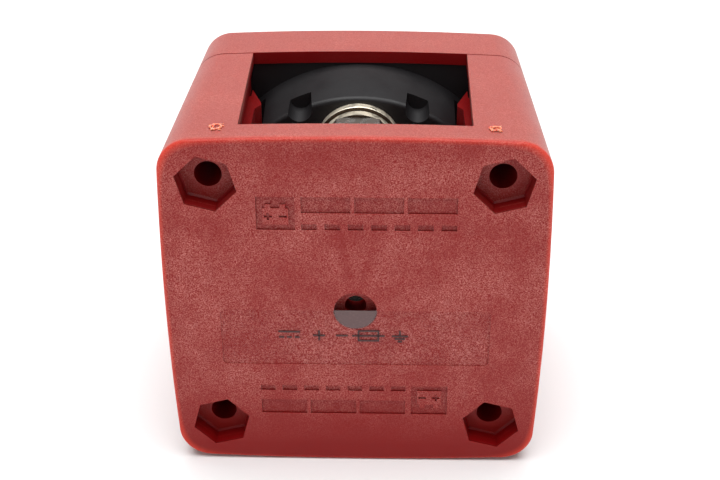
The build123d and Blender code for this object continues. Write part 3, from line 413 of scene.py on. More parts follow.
def moulded_red(settings):
    """Translucent red plastic: spark-eroded grain outside, smooth and deep red inside, with a painted
    sheen on the outer faces, a painted glow along the base's edge and painted shade in the sunk signs.
    """
    finish = Finish("MouldedRed")
    up = finish.axis("Z")
    depth = finish.axis("Y")
    edge = edge_measure(finish)
    outer = outer_share(finish, edge)
    inside = inside_share(finish, outer)
    fine = finish.noise(settings.grain, detail=2.0, roughness=0.7)
    fibres = finish.noise(settings.grain * 1.7, detail=2.0, roughness=0.6, distortion=2.2)
    grain = finish.product(fine, fibres)
    patches = finish.noise(11 * MM, detail=3.0, roughness=0.6)
    sides = finish.product(outer, finish.span(depth, 0.3 * MM, 1.0 * MM))
    # Mottle: random patches of stronger grain, raised to 0.8 on the outer side walls as part of their
    # painted sheen.
    mottle_and_side_sheen = finish.highest(finish.span(patches, 0.38, 0.60, 0.42, 1.0), finish.product(sides, 0.8))
    # Flecks: real grain whose strength also paints a sheen of reflected light. It fades out towards the
    # bottom of the mounting face, where the painted reflection dims, and it is weaker above 27 mm and
    # on faces further back.
    flecks_and_sheen = finish.product(
        finish.span(grain, 0.19, 0.36),
        0.72,
        mottle_and_side_sheen,
        finish.span(up, -31 * MM, -14 * MM),
        finish.span(up, 27 * MM, 32.5 * MM, 1.0, 0.70),
        finish.span(depth, 0.5 * MM, 4.0 * MM, 1.0, 0.65),
        finish.span(inside, 0.0, 1.0, 1.0, 0.08),
        flow_mark(finish),
    )
    # Painted sheen: bloom lays the pale fleck colour over the outer side walls, standing for the glossy
    # light they catch from above.
    bloom = finish.product(sides, finish.span(patches, 0.3, 0.7, 0.27, 0.32))
    plain = finish.mix(inside, settings.colour, settings.inside)
    grained = finish.mix(finish.math("ADD", flecks_and_sheen, bloom), plain, settings.fleck_and_sheen)
    # Painted shade: the sunk signs' walls and floors get a darker inside red, standing for the shade in
    # these shallow recesses.
    painted_sign_shade = [level * 0.6 for level in settings.inside]
    shaded = finish.mix(sign_shade_share(finish, edge), grained, painted_sign_shade)
    # Painted glow: the edge colour is laid along the rim of the mounting face for light shining through
    # its thin edge, and it is weaker along the middle of the top and bottom edges.
    painted_edge_glow = finish.product(
        finish.span(edge, 0.972, 0.998),
        finish.span(depth, 0.3 * MM, 1.6 * MM, 0.6, 0.0),
        finish.span(finish.distance(finish.axis("X")), 27 * MM, 33 * MM, 0.6, 1.0),
    )
    colour = finish.mix(painted_edge_glow, shaded, settings.edge)
    rough = finish.span(patches, 0.3, 0.7, settings.roughness - 0.05, settings.roughness + 0.07)
    normal = finish.bump(grain, 0.045 * MM, 0.6)
    finish.fix(Specular_IOR_Level=0.22, IOR=1.5, Subsurface_Weight=0.3,
               Subsurface_Scale=settings.glow, Subsurface_Radius=(1.0, 0.10, 0.07))
    return finish.paint(colour, rough, normal)


def black_plastic(settings):
    """Satin black glass-filled plastic with soft sink marks and dust in its grain."""
    finish = Finish("BlackNylon")
    fine = finish.noise(0.22 * MM, detail=3.0, roughness=0.7)
    broad = finish.noise(6 * MM, detail=2.0)
    dust = finish.span(fine, 0.66, 0.80, 0.0, 0.10)
    colour = finish.mix(dust, settings.colour, (0.11, 0.10, 0.10))
    rough = finish.span(broad, 0.3, 0.7, settings.roughness - 0.06, settings.roughness + 0.08)
    normal = finish.bump(fine, 0.02 * MM, 0.5)
    finish.fix(Specular_IOR_Level=0.38)
    return finish.paint(colour, rough, normal)


def metal(name, colour, roughness, tarnish_and_reflection=(0.20, 0.13, 0.08), tarnish_and_reflection_share=0.25):
    """Turned or plated metal with tarnished patches that also paint reflections, and painted shade in
    the seams where the lock washers are seated.
    """
    finish = Finish(name)
    painted_seam_shade = (0.045, 0.022, 0.010)
    lines = finish.noise(0.5 * MM, detail=2.0, vector=finish.scaled((1.0, 14.0, 1.0)))
    haze = finish.noise(2.2 * MM, detail=3.0, distortion=0.8)
    # Patches from the haze noise: partly tarnish, partly painted reflection of dark, brown surroundings
    # on the bright metal.
    tint = finish.mix(finish.span(haze, 0.46, 0.56, 0.0, tarnish_and_reflection_share), colour, tarnish_and_reflection)
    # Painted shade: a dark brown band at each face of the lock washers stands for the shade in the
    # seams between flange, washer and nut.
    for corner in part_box("stud_lock_washers"):
        away = finish.distance(finish.axis("Y"), corner.y)
        tint = finish.mix(finish.span(away, 0.12 * MM, 0.24 * MM, 0.95, 0.0), tint, painted_seam_shade)
    rough = finish.span(haze, 0.3, 0.7, roughness * 0.7, roughness * 1.35)
    normal = finish.bump(lines, 0.02 * MM, 0.35)
    finish.fix(Metallic=1.0)
    return finish.paint(tint, rough, normal)


def rubber():
    """Black rubber with a faint grey bloom."""
    finish = Finish("SealRubber")
    bloom = finish.noise(1.5 * MM, detail=3.0)
    colour = finish.mix(finish.span(bloom, 0.4, 0.7), (0.012, 0.012, 0.012), (0.04, 0.04, 0.04))
    normal = finish.bump(finish.noise(0.15 * MM), 0.02 * MM, 0.5)
    finish.fix(Specular_IOR_Level=0.35)
    return finish.paint(colour, finish.span(bloom, 0.3, 0.7, 0.6, 0.8), normal)


def acetal():
    """Waxy off-white acetal."""
    finish = Finish("WhiteAcetal")
    broad = finish.noise(5 * MM, detail=2.0)
    colour = finish.mix(broad, (0.66, 0.64, 0.58), (0.74, 0.73, 0.69))
    normal = finish.bump(finish.noise(0.3 * MM, detail=2.0), 0.02 * MM, 0.4)
    finish.fix(Subsurface_Weight=0.2, Subsurface_Scale=1.5 * MM)
    return finish.paint(colour, finish.span(broad, 0.3, 0.7, 0.35, 0.45), normal)


def clear_film():
    """Clear scuffed film: smoky where it spans the centre sink, nearly unseen on the plastic."""
    finish = Finish("ClearFilm")
    scuffs = finish.noise(0.6 * MM, detail=4.0, vector=finish.scaled((1.0, 1.0, 6.0)))
    normal = finish.bump(scuffs, 0.01 * MM, 0.3)
    colour = finish.mix(finish.span(scuffs, 0.5, 0.8), (0.17, 0.115, 0.115), (0.24, 0.16, 0.16))
    across = finish.axis("X")
    up = finish.axis("Z")
    square = finish.math("ADD", finish.product(across, across), finish.product(up, up))
    away = finish.math("POWER", square, 0.5)
    soft = 0.2 * MM
    haze = finish.span(away, CENTRE_SINK_RADIUS - soft, CENTRE_SINK_RADIUS + soft, 0.75, 0.02)
    finish.feed(finish.shader.inputs["Alpha"], haze)
    finish.fix(IOR=1.45, Specular_IOR_Level=0.12)
    return finish.paint(colour, finish.span(scuffs, 0.3, 0.8, 0.38, 0.5), normal)


def vinyl(name, colour, other):
    """Printed vinyl or ink in two close shades."""
    finish = Finish(name)
    fine = finish.noise(0.35 * MM, detail=2.0)
    tint = finish.mix(finish.span(fine, 0.35, 0.7), colour, other)
    normal = finish.bump(fine, 0.02 * MM, 0.4)
    finish.fix(Specular_IOR_Level=0.4)
    return finish.paint(tint, finish.span(fine, 0.3, 0.7, 0.42, 0.56), normal)


def torn_plastic(settings):
    """Stress-whitened orange skin of a torn moulding gate."""
    finish = Finish("TornGate")
    broken = finish.noise(0.45 * MM, detail=3.0)
    colour = finish.mix(finish.span(broken, 0.35, 0.65), (0.75, 0.13, 0.06), (0.95, 0.42, 0.28))
    normal = finish.bump(broken, 0.08 * MM, 0.8)
    finish.fix(Subsurface_Weight=0.5, Subsurface_Scale=settings.glow * 0.4)
    return finish.paint(colour, finish.span(broken, 0.3, 0.7, 0.35, 0.6), normal)


def floor_material(settings):
    """Plain pale matt floor."""
    finish = Finish("StudioFloor")
    broad = finish.noise(0.4, detail=2.0)
    duller = [level * 0.995 for level in settings.floor_colour]
    colour = finish.mix(finish.span(broad, 0.3, 0.7), settings.floor_colour, duller)
    return finish.paint(colour, finish.span(broad, 0.3, 0.7, 0.75, 0.8))


MATERIALS = {}


def material(key):
    """The material of that name, made once."""
    scene = bpy.context.scene
    makers = {
        "red": lambda: moulded_red(scene.switch_red),
        "black": lambda: black_plastic(scene.switch_black),
        "tin": lambda: metal("TinPlate", (0.95, 0.87, 0.72), 0.54, tarnish_and_reflection_share=0.15),
        # The stainless nuts get the strongest patches, which paint dark reflections on them as well as
        # tarnish.
        "steel": lambda: metal("StainlessSteel", (0.86, 0.80, 0.74), 0.26, tarnish_and_reflection_share=0.5),
        "ball": lambda: metal("BearingSteel", (0.68, 0.68, 0.70), 0.10, tarnish_and_reflection_share=0.05),
        "spring": lambda: metal("SpringWire", (0.45, 0.45, 0.46), 0.30, tarnish_and_reflection_share=0.15),
        "oxide": lambda: metal("BlackOxide", (0.035, 0.035, 0.04), 0.42, tarnish_and_reflection=(0.06, 0.04, 0.03)),
        "copper": lambda: metal("CopperBar", (0.80, 0.42, 0.27), 0.30, tarnish_and_reflection=(0.25, 0.10, 0.05)),
        "silver": lambda: metal("SilverTip", (0.90, 0.88, 0.84), 0.18, tarnish_and_reflection=(0.4, 0.36, 0.3)),
        "rubber": rubber,
        "acetal": acetal,
        "film": clear_film,
        "dial": lambda: vinyl("DialVinyl", (0.016, 0.016, 0.018), (0.028, 0.028, 0.030)),
        "white": lambda: vinyl("WhiteInk", (0.80, 0.80, 0.78), (0.72, 0.72, 0.70)),
        "print": lambda: vinyl("FilmInk", (0.045, 0.016, 0.017), (0.075, 0.026, 0.026)),
        "torn": lambda: torn_plastic(scene.switch_red),
        "floor": lambda: floor_material(scene.switch_studio),
    }
    if key not in MATERIALS:
        MATERIALS[key] = makers[key]()
    return MATERIALS[key]


# ---- mesh helpers -------------------------------------------------------------------------------
def new_object(name, data):
    """An object in the scene, at the origin."""
    thing = bpy.data.objects.new(name, data)
    bpy.context.scene.collection.objects.link(thing)
    return thing


def piece(name, mesh, key, body, smooth=True):
    """A finished piece: one material over the whole mesh, riding on a body."""
    mesh.materials.clear()
    mesh.materials.append(material(key))
    for face in mesh.polygons:
        face.use_smooth = smooth
        face.material_index = 0
    thing = new_object(name, mesh)
    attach(thing, body)
    return thing


def finished_mesh(name, builder):
    """Closed mesh from a bmesh builder, doubles merged and faces pointing outwards."""
    work = bmesh.new()
    builder(work)
    bmesh.ops.remove_doubles(work, verts=work.verts, dist=MERGE_DISTANCE)
    bmesh.ops.recalc_face_normals(work, faces=work.faces)
    mesh = bpy.data.meshes.new(name)
    work.to_mesh(mesh)
    work.free()
    return mesh


def merged_copy(mesh):
    """Copy of a frame node's mesh with its loose triangles joined."""
    work = bmesh.new()
    work.from_mesh(mesh)
    bmesh.ops.remove_doubles(work, verts=work.verts, dist=MERGE_DISTANCE)
    copied = mesh.copy()
    work.to_mesh(copied)
    work.free()
    return copied


def lathe(work, profile, centre, steps=96):
    """Turns (radius, depth) points round a line along Y through centre; both ends are on it."""
    angles = [2 * math.pi * step / steps for step in range(steps)]
    rings = []
    for radius, depth in profile:
        around = angles if radius else angles[:1]
        rings.append([work.verts.new((centre.x + radius * math.cos(a), depth,
                                      centre.z + radius * math.sin(a))) for a in around])
    for low, high in zip(rings, rings[1:]):
        for step in range(steps):
            after = (step + 1) % steps
            corners = [low[step % len(low)], low[after % len(low)],
                       high[after % len(high)], high[step % len(high)]]
            unique = list(dict.fromkeys(corners))
            if len(unique) > 2:
                work.faces.new(unique)


def tube(work, points, radii, closed, sides=10):
    """Round tube through points, each with its own radius; an open tube is capped at both ends."""
    rings = []
    last = len(points) - 1
    for index, (point, radius) in enumerate(zip(points, radii)):
        before = points[index - 1] if index or closed else point
        after = points[(index + 1) % len(points)] if index < last or closed else point
        along = (after - before).normalized()
        across = along.cross(Vector((0.0, 0.0, 1.0))).normalized()
        upward = across.cross(along)
        angles = [2 * math.pi * side / sides for side in range(sides)]
        rings.append([work.verts.new(point + radius * (math.cos(a) * across + math.sin(a) * upward))
                      for a in angles])
    for now, then in zip(rings, rings[1:] + rings[:1] if closed else rings[1:]):
        for side in range(sides):
            other = (side + 1) % sides
            work.faces.new((now[side], now[other], then[other], then[side]))
    if not closed:
        work.faces.new(rings[0])
        work.faces.new(rings[-1])


def plate(work, outline, depth_low, depth_high):
    """Flat plate from an outline of (x, z) points, between two depths along Y."""
    low = [work.verts.new((x, depth_low, z)) for x, z in outline]
    high = [work.verts.new((x, depth_high, z)) for x, z in outline]
    work.faces.new(low)
    work.faces.new(high)
    for index in range(len(outline)):
        after = (index + 1) % len(outline)
        work.faces.new((low[index], low[after], high[after], high[index]))


def bar(x0, x1, z0, z1):
    """Outline of an upright rectangle."""
    return [(x0, z0), (x1, z0), (x1, z1), (x0, z1)]


def ring_part(radius_in, radius_out, start, end, steps):
    """Outline of a ring's sector, angles in degrees from +X towards +Z."""
    angles = [math.radians(start + (end - start) * step / steps) for step in range(steps + 1)]
    outer = [(radius_out * math.cos(a), radius_out * math.sin(a)) for a in angles]
    inner = [(radius_in * math.cos(a), radius_in * math.sin(a)) for a in reversed(angles)]
    return outer + inner


def shifted(outline, x, z):
    """The outline moved by x and z."""
    return [(px + x, pz + z) for px, pz in outline]


# ---- geometry nodes helper ----------------------------------------------------------------------
class Growth:
    """One Geometry Nodes tree with named inputs; grow() turns its result into a plain mesh."""

    def __init__(self, name, inputs):
        self.tree = bpy.data.node_groups.new(name, "GeometryNodeTree")
        self.tree.interface.new_socket("Geometry", in_out="OUTPUT", socket_type="NodeSocketGeometry")
        self.values = {}
        for label, (kind, value) in inputs.items():
            socket = self.tree.interface.new_socket(
                label, in_out="INPUT", socket_type="NodeSocket" + kind)
            self.values[socket.identifier] = value
        self.given = self.tree.nodes.new("NodeGroupInput").outputs
        self.out = self.tree.nodes.new("NodeGroupOutput").inputs[0]

    def add(self, kind, inputs=None, **settings):
        """A new node with its settings made and its inputs linked or set; gives its first output."""
        node = self.tree.nodes.new(kind)
        for key, value in settings.items():
            setattr(node, key, value)
        for key, value in (inputs or {}).items():
            if isinstance(value, bpy.types.NodeSocket):
                self.tree.links.new(value, node.inputs[key])
            else:
                node.inputs[key].default_value = value
        return node.outputs[0]

    def math(self, operation, first, second=0.0):
        """One sum on sockets or numbers."""
        return self.add("ShaderNodeMath", {0: first, 1: second}, operation=operation)

    def vector(self, x=0.0, y=0.0, z=0.0):
        """Three sockets or numbers as one vector."""
        return self.add("ShaderNodeCombineXYZ", {"X": x, "Y": y, "Z": z})

    def close(self, geometry, smooth=True):
        """Realize Instances and Set Material end every tree."""
        whole = self.add("GeometryNodeRealizeInstances", {"Geometry": geometry})
        whole = self.add("GeometryNodeSetShadeSmooth", {"Geometry": whole, "Shade Smooth": smooth})
        painted = self.add("GeometryNodeSetMaterial", {
            "Geometry": whole, "Material": self.given["Material"]})
        self.tree.links.new(painted, self.out)

    def grow(self, name):
        """Runs the tree once and gives its result as a mesh of that name."""
        holder = new_object(name + "Seed", bpy.data.meshes.new(name + "Seed"))
        modifier = holder.modifiers.new("Growth", "NODES")
        modifier.node_group = self.tree
        for identifier, value in self.values.items():
            modifier[identifier] = value
        evaluated = holder.evaluated_get(bpy.context.evaluated_depsgraph_get())
        mesh = bpy.data.meshes.new_from_object(evaluated)
        holder.modifiers.remove(modifier)
        bpy.data.objects.remove(holder)
        if not mesh.polygons:
            raise RuntimeError(name + " grew nothing")
        mesh.name = name
        return mesh


def thread_growth(settings, length):
    """Helical ridge round +Z from the origin, with a core inside it."""
    foot_share = 0.94
    crest_share = 0.14
    growth = Growth("StudThread", {
        "Core Radius": ("Float", STUD_RADIUS - settings.depth),
        "Crest Radius": ("Float", STUD_RADIUS),
        "Pitch": ("Float", settings.pitch),
        "Length": ("Float", length),
        "Turn Steps": ("Int", settings.turn_steps),
        "Material": ("Material", material("tin")),
    })
    given = growth.given
    turns = growth.math("DIVIDE", given["Length"], given["Pitch"])
    helix = growth.add("GeometryNodeCurveSpiral", {
        "Resolution": given["Turn Steps"], "Rotations": turns, "Start Radius": given["Core Radius"],
        "End Radius": given["Core Radius"], "Height": given["Length"]})
    helix = growth.add("GeometryNodeSetCurveNormal", {"Curve": helix}, mode="Z_UP")
    rise = growth.math("SUBTRACT", given["Crest Radius"], given["Core Radius"])
    ridge = growth.add("GeometryNodeCurvePrimitiveQuadrilateral", {
        "Bottom Width": growth.math("MULTIPLY", given["Pitch"], foot_share),
        "Top Width": growth.math("MULTIPLY", given["Pitch"], crest_share),
        "Height": growth.math("MULTIPLY", rise, 2.0), "Offset": 0.0}, mode="TRAPEZOID")
    turned = growth.add("GeometryNodeTransform", {
        "Geometry": ridge, "Rotation": growth.vector(z=math.radians(-90.0))})
    solid = growth.add("GeometryNodeCurveToMesh", {
        "Curve": helix, "Profile Curve": turned, "Fill Caps": True})
    core = growth.add("GeometryNodeMeshCylinder", {
        "Vertices": 64, "Radius": given["Core Radius"], "Depth": given["Length"]})
    half = growth.math("MULTIPLY", given["Length"], 0.5)
    lifted = growth.add("GeometryNodeTransform", {
        "Geometry": core, "Translation": growth.vector(z=half)})
    joined = growth.add("GeometryNodeJoinGeometry", {"Geometry": solid})
    growth.tree.links.new(lifted, joined.node.inputs["Geometry"])
    growth.close(joined, smooth=False)
    return growth


def rib_growth(settings, height):
    """Row of upright round-ended ribs along X, standing on the origin's plane along Z."""
    growth = Growth("GripRibs", {
        "Count": ("Int", settings.ribs),
        "Pitch": ("Float", settings.pitch),
        "Radius": ("Float", settings.radius),
        "Height": ("Float", height),
        "Material": ("Material", material("red")),
    })
    given = growth.given
    spread = growth.math("MULTIPLY", growth.math("SUBTRACT", given["Count"], 1.0), given["Pitch"])
    start = growth.math("MULTIPLY", spread, -0.5)
    row = growth.add("GeometryNodeMeshLine", {
        "Count": given["Count"], "Start Location": growth.vector(x=start),
        "Offset": growth.vector(x=given["Pitch"])}, mode="OFFSET")
    body = growth.add("GeometryNodeMeshUVSphere", {
        "Segments": 16, "Rings": 12, "Radius": given["Radius"]})
    middle = growth.add("GeometryNodeMeshCylinder", {
        "Vertices": 16, "Radius": given["Radius"], "Depth": given["Height"]})
    half = growth.math("MULTIPLY", given["Height"], 0.5)
    low_end = growth.add("GeometryNodeTransform", {
        "Geometry": body, "Translation": growth.vector(z=growth.math("MULTIPLY", half, -1.0))})
    high_end = growth.add("GeometryNodeTransform", {
        "Geometry": body, "Translation": growth.vector(z=half)})
    rib = growth.add("GeometryNodeJoinGeometry", {"Geometry": low_end})
    for part in (middle, high_end):
        growth.tree.links.new(part, rib.node.inputs["Geometry"])
    placed = growth.add("GeometryNodeInstanceOnPoints", {"Points": row, "Instance": rib})
    growth.close(placed)
    return growth


def tick_growth(settings, radius, start, end):
    """Short printed lines on an arc about +Z; start and end are in degrees."""
    growth = Growth("DialTicks", {
        "Count": ("Int", settings.ticks),
        "Radius": ("Float", radius),
        "Start": ("Float", math.radians(start)),
        "Sweep": ("Float", math.radians(end - start)),
        "Tick Length": ("Float", settings.tick_length),
        "Tick Width": ("Float", settings.tick_width),
        "Relief": ("Float", settings.relief),
        "Material": ("Material", material("white")),
    })
    given = growth.given
    points = growth.add("GeometryNodeMeshLine", {"Count": given["Count"], "Offset": (0.0, 0.0, 0.0)})
    index = growth.add("GeometryNodeInputIndex")
    gaps = growth.math("SUBTRACT", given["Count"], 1.0)
    step = growth.math("MULTIPLY", growth.math("DIVIDE", index, gaps), given["Sweep"])
    angle = growth.math("ADD", step, given["Start"])
    x = growth.math("MULTIPLY", growth.math("COSINE", angle), given["Radius"])
    y = growth.math("MULTIPLY", growth.math("SINE", angle), given["Radius"])
    placed = growth.add("GeometryNodeSetPosition", {
        "Geometry": points, "Position": growth.vector(x=x, y=y)})
    tick = growth.add("GeometryNodeMeshCube", {
        "Size": growth.vector(x=given["Tick Length"], y=given["Tick Width"], z=given["Relief"])})
    ticks = growth.add("GeometryNodeInstanceOnPoints", {
        "Points": placed, "Instance": tick, "Rotation": growth.vector(z=angle)})
    growth.close(ticks, smooth=False)
    return growth


def stood_up(mesh, x=0.0, y=0.0, z=0.0):
    """Turns a mesh grown about +Z so that +Z runs along +Y, then shifts it."""
    tilt = Matrix.Rotation(math.radians(-90.0), 4, "X")
    mesh.transform(Matrix.Translation((x, y, z)) @ tilt)


# ---- the pieces ---------------------------------------------------------------------------------
class SWITCH_OT_studio(bpy.types.Operator):
    """Camera, plain floor, white surroundings and soft lights"""

    bl_idname = "switch.studio"
    bl_label = "Studio"

    def execute(self, context):
        settings = context.scene.switch_studio
        self.place_camera(context.scene, settings)
        self.lay_floor()
        world = bpy.data.worlds.new("Surroundings")
        world.use_nodes = True
        self.paint_sky(world.node_tree, settings)
        context.scene.world = world
        context.scene.view_settings.view_transform = "Standard"
        middle = (CAD_BOX[0] + CAD_BOX[1]) / 2
        lights = (
            ("TopLight", settings.top_power, 3.00, Vector((0.02, -0.09, 2.45))),
            ("FrontLight", settings.front_power, 0.35, Vector((-0.28, -0.40, 0.22))),
        )
        for name, power, size, place in lights:
            lamp = bpy.data.lights.new(name, "AREA")
            lamp.shape = "DISK"
            lamp.size = size
            lamp.energy = power
            thing = new_object(name, lamp)
            thing.location = middle + place
            thing.rotation_euler = (-place).to_track_quat("-Z", "Y").to_euler()
        return {"FINISHED"}

    @staticmethod
    def place_camera(scene, settings):
        """Camera looking at the mounting face from a little above."""
        camera = bpy.data.cameras.new("Camera")
        camera.lens = settings.lens
        camera.sensor_width = 36.0
        camera.clip_start = 0.01
        holder = new_object("Camera", camera)
        holder.location = settings.place
        holder.rotation_euler = settings.turn
        scene.camera = holder

    @staticmethod
    def lay_floor():
        """Plain square floor under the lowest point."""
        reach = 1.1
        level = CAD_BOX[0].z

        def square(work):
            corners = [(-reach, -reach), (reach, -reach), (reach, reach), (-reach, reach)]
            work.faces.new([work.verts.new((x, y, level)) for x, y in corners])

        mesh = finished_mesh("StudioFloor", square)
        mesh.materials.append(material("floor"))
        new_object("StudioFloor", mesh)

    @staticmethod
    def paint_sky(tree, settings):
        """White surroundings up to a little over the horizon, dimmer overhead."""
        fade_start, fade_end = 0.12, 0.50    # upward part of the direction looked in
        direction = tree.nodes.new("ShaderNodeTexCoord").outputs["Generated"]
        parts = tree.nodes.new("ShaderNodeSeparateXYZ")
        tree.links.new(direction, parts.inputs["Vector"])
        fade = tree.nodes.new("ShaderNodeMapRange")
        tree.links.new(parts.outputs["Z"], fade.inputs["Value"])
        fade.inputs["From Min"].default_value = fade_start
        fade.inputs["From Max"].default_value = fade_end
        fade.inputs["To Min"].default_value = settings.horizon_strength
        fade.inputs["To Max"].default_value = settings.world_strength
        backdrop = tree.nodes["Background"]
        backdrop.inputs["Color"].default_value = (1.0, 1.0, 1.0, 1.0)
        tree.links.new(fade.outputs["Result"], backdrop.inputs["Strength"])


class SWITCH_OT_plain_finishes(bpy.types.Operator):
    """Gives every node of the frame its finished material"""

    bl_idname = "switch.plain_finishes"
    bl_label = "Frame finishes"

    def execute(self, context):
        groups = {
            "red": RED_NODES, "black": BLACK_NODES, "steel": STEEL_NODES, "ball": BALL_NODES,
            "spring": SPRING_NODES, "rubber": RUBBER_NODES, "acetal": ACETAL_NODES,
            "silver": SILVER_NODES, "oxide": ("housing_screws",), "copper": ("contact_bridge",),
            "tin": ("line_stud", "load_stud", "stud_lock_washers"), "film": ("clear_label",),
            "dial": ("dial_label",), "white": ("knob_pointer",),
        }
        done = set()
        for key, names in groups.items():
            for name in names:
                node = frame["nodes"][name]
                for slot in node.material_slots:
                    slot.link = "OBJECT"
                    slot.material = material(key)
                done.add(name)
        missed = set(frame["nodes"]) - done
        if missed:
            raise RuntimeError("no finish for " + ", ".join(sorted(missed)))
        return {"FINISHED"}


class SWITCH_OT_studs(bpy.types.Operator):
    """Threaded terminal studs with a rounded flange and a contact head"""

    bl_idname = "switch.studs"
    bl_label = "Terminal studs"

    def execute(self, context):
        settings = context.scene.switch_studs
        thread_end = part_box("stud_lock_washers")[1].y
        flange_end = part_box("rear_housing")[0].y
        for node in ("line_stud", "load_stud"):
            low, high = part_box(node)
            middle = (low + high) / 2
            mesh = thread_growth(settings, thread_end - low.y).grow(node + "Thread")
            stood_up(mesh, middle.x, low.y, middle.z)
            core = STUD_RADIUS - settings.depth
            flange = (high.x - low.x) / 2
            self.add_tip(mesh, middle, low.y, core)
            self.add_flange_and_head(mesh, middle, thread_end, flange_end, high.y, flange)
            shape = piece(node.replace("_stud", "") + "_threaded_stud", mesh, "tin", "housing",
                          smooth=False)
            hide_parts(node)
        return {"FINISHED"}

    @staticmethod
    def add_turned(mesh, profile, middle, steps):
        """Joins one turned part to the mesh."""
        work = bmesh.new()
        work.from_mesh(mesh)
        lathe(work, profile, middle, steps)
        bmesh.ops.recalc_face_normals(work, faces=work.faces)
        work.to_mesh(mesh)
        work.free()

    def add_tip(self, mesh, middle, tip, core):
        """Chamfered tip of the threaded length."""
        chamfer = 0.5 * MM
        tip_length = 1.0 * MM
        self.add_turned(mesh, [
            (0.0, tip), (core - chamfer, tip), (core, tip + chamfer),
            (core, tip + tip_length), (0.0, tip + tip_length)], middle, 64)

    def add_flange_and_head(self, mesh, middle, thread_end, flange_end, head_end, flange):
        """Rounded flange behind the lock washer, neck through the housing and contact head."""
        overlap = 0.3 * MM
        soft = 0.35 * MM
        head = 6.5 * MM
        head_start = head_end - 2.0 * MM
        head_chamfer = 0.2 * MM
        self.add_turned(mesh, [
            (0.0, thread_end - overlap), (STUD_RADIUS, thread_end - overlap),
            (STUD_RADIUS, thread_end), (flange - soft, thread_end),
            (flange - 0.3 * soft, thread_end + 0.3 * soft), (flange, thread_end + soft),
            (flange, flange_end), (STUD_RADIUS, flange_end), (STUD_RADIUS, head_start),
            (head, head_start), (head, head_end - head_chamfer), (head - head_chamfer, head_end),
            (0.0, head_end)], middle, 96)


class SWITCH_OT_coil_springs(bpy.types.Operator):
    """Coil springs pressed by the contact bridge and the detent balls, each copied with its triangles
    joined and riding on its joint's parent body
    """

    bl_idname = "switch.coil_springs"
    bl_label = "Coil springs"

    def execute(self, context):
        for joint in frame["record"]["behaviour"]["joints"]:
            for pressed in joint.get("deforming_nodes", ()):
                node = pressed["node"]
                mesh = merged_copy(frame["nodes"][node].data)
                coil = piece("wound_" + node, mesh, "spring", joint["parent"])
                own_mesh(coil)
                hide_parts(node)
        return {"FINISHED"}


class SWITCH_OT_grip_ribs(bpy.types.Operator):
    """Finger ribs along both sides of the knob's grip"""

    bl_idname = "switch.grip_ribs"
    bl_label = "Grip ribs"

    def execute(self, context):
        settings = context.scene.switch_knob
        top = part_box("knob")[1].y
        rib_height = 11.5 * MM
        middle = top - 4.6 * MM - rib_height / 2
        lean = math.radians(2.0)        # the grip narrows towards its top
        grip_foot = top - 22.0 * MM
        foot_half_width = 7.75 * MM
        sunk = 0.25 * MM
        face = foot_half_width - math.tan(lean) * (middle - grip_foot)
        for label, side in (("upper", 1), ("lower", -1)):
            mesh = rib_growth(settings, rib_height).grow("grip_ribs_" + label)
            stood_up(mesh)
            mesh.transform(Matrix.Rotation(side * lean, 4, "X"))
            mesh.transform(Matrix.Translation((0.0, middle, side * (face - sunk))))
            piece("grip_ribs_" + label, mesh, "red", "rotor")
        return {"FINISHED"}


class SWITCH_OT_dial_print(bpy.types.Operator):
    """White I and O marks, an arc and ticks printed round the dial"""

    bl_idname = "switch.dial_print"
    bl_label = "Dial print"

    def execute(self, context):
        settings = context.scene.switch_dial
        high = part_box("dial_label")[1]
        bottom = high.y + 0.01 * MM
        top = bottom + settings.relief
        dial_inner = 20.8 * MM
        track = (dial_inner + high.x) / 2 + 0.3 * MM    # radius that the marks stand at
        line = 0.7 * MM
        mark_radius = 2.2 * MM
        arc_half = 0.2 * MM

        def marks(work):
            for half in (0, 180):
                sector = ring_part(mark_radius - line, mark_radius, half, half + 180, 24)
                plate(work, shifted(sector, track, 0.0), bottom, top)
            stroke = bar(-line / 2, line / 2, -mark_radius, mark_radius)
            plate(work, shifted(stroke, 0.0, -track), bottom, top)
            plate(work, ring_part(track - arc_half, track + arc_half, -78, -12, 48), bottom, top)

        piece("dial_marks", finished_mesh("dial_marks", marks), "white", "housing",
              smooth=False)
        mesh = tick_growth(settings, high.x - 1.6 * MM, 12, 78).grow("dial_ticks")
        stood_up(mesh, y=(bottom + top) / 2)
        piece("dial_ticks", mesh, "white", "housing", smooth=False)
        return {"FINISHED"}


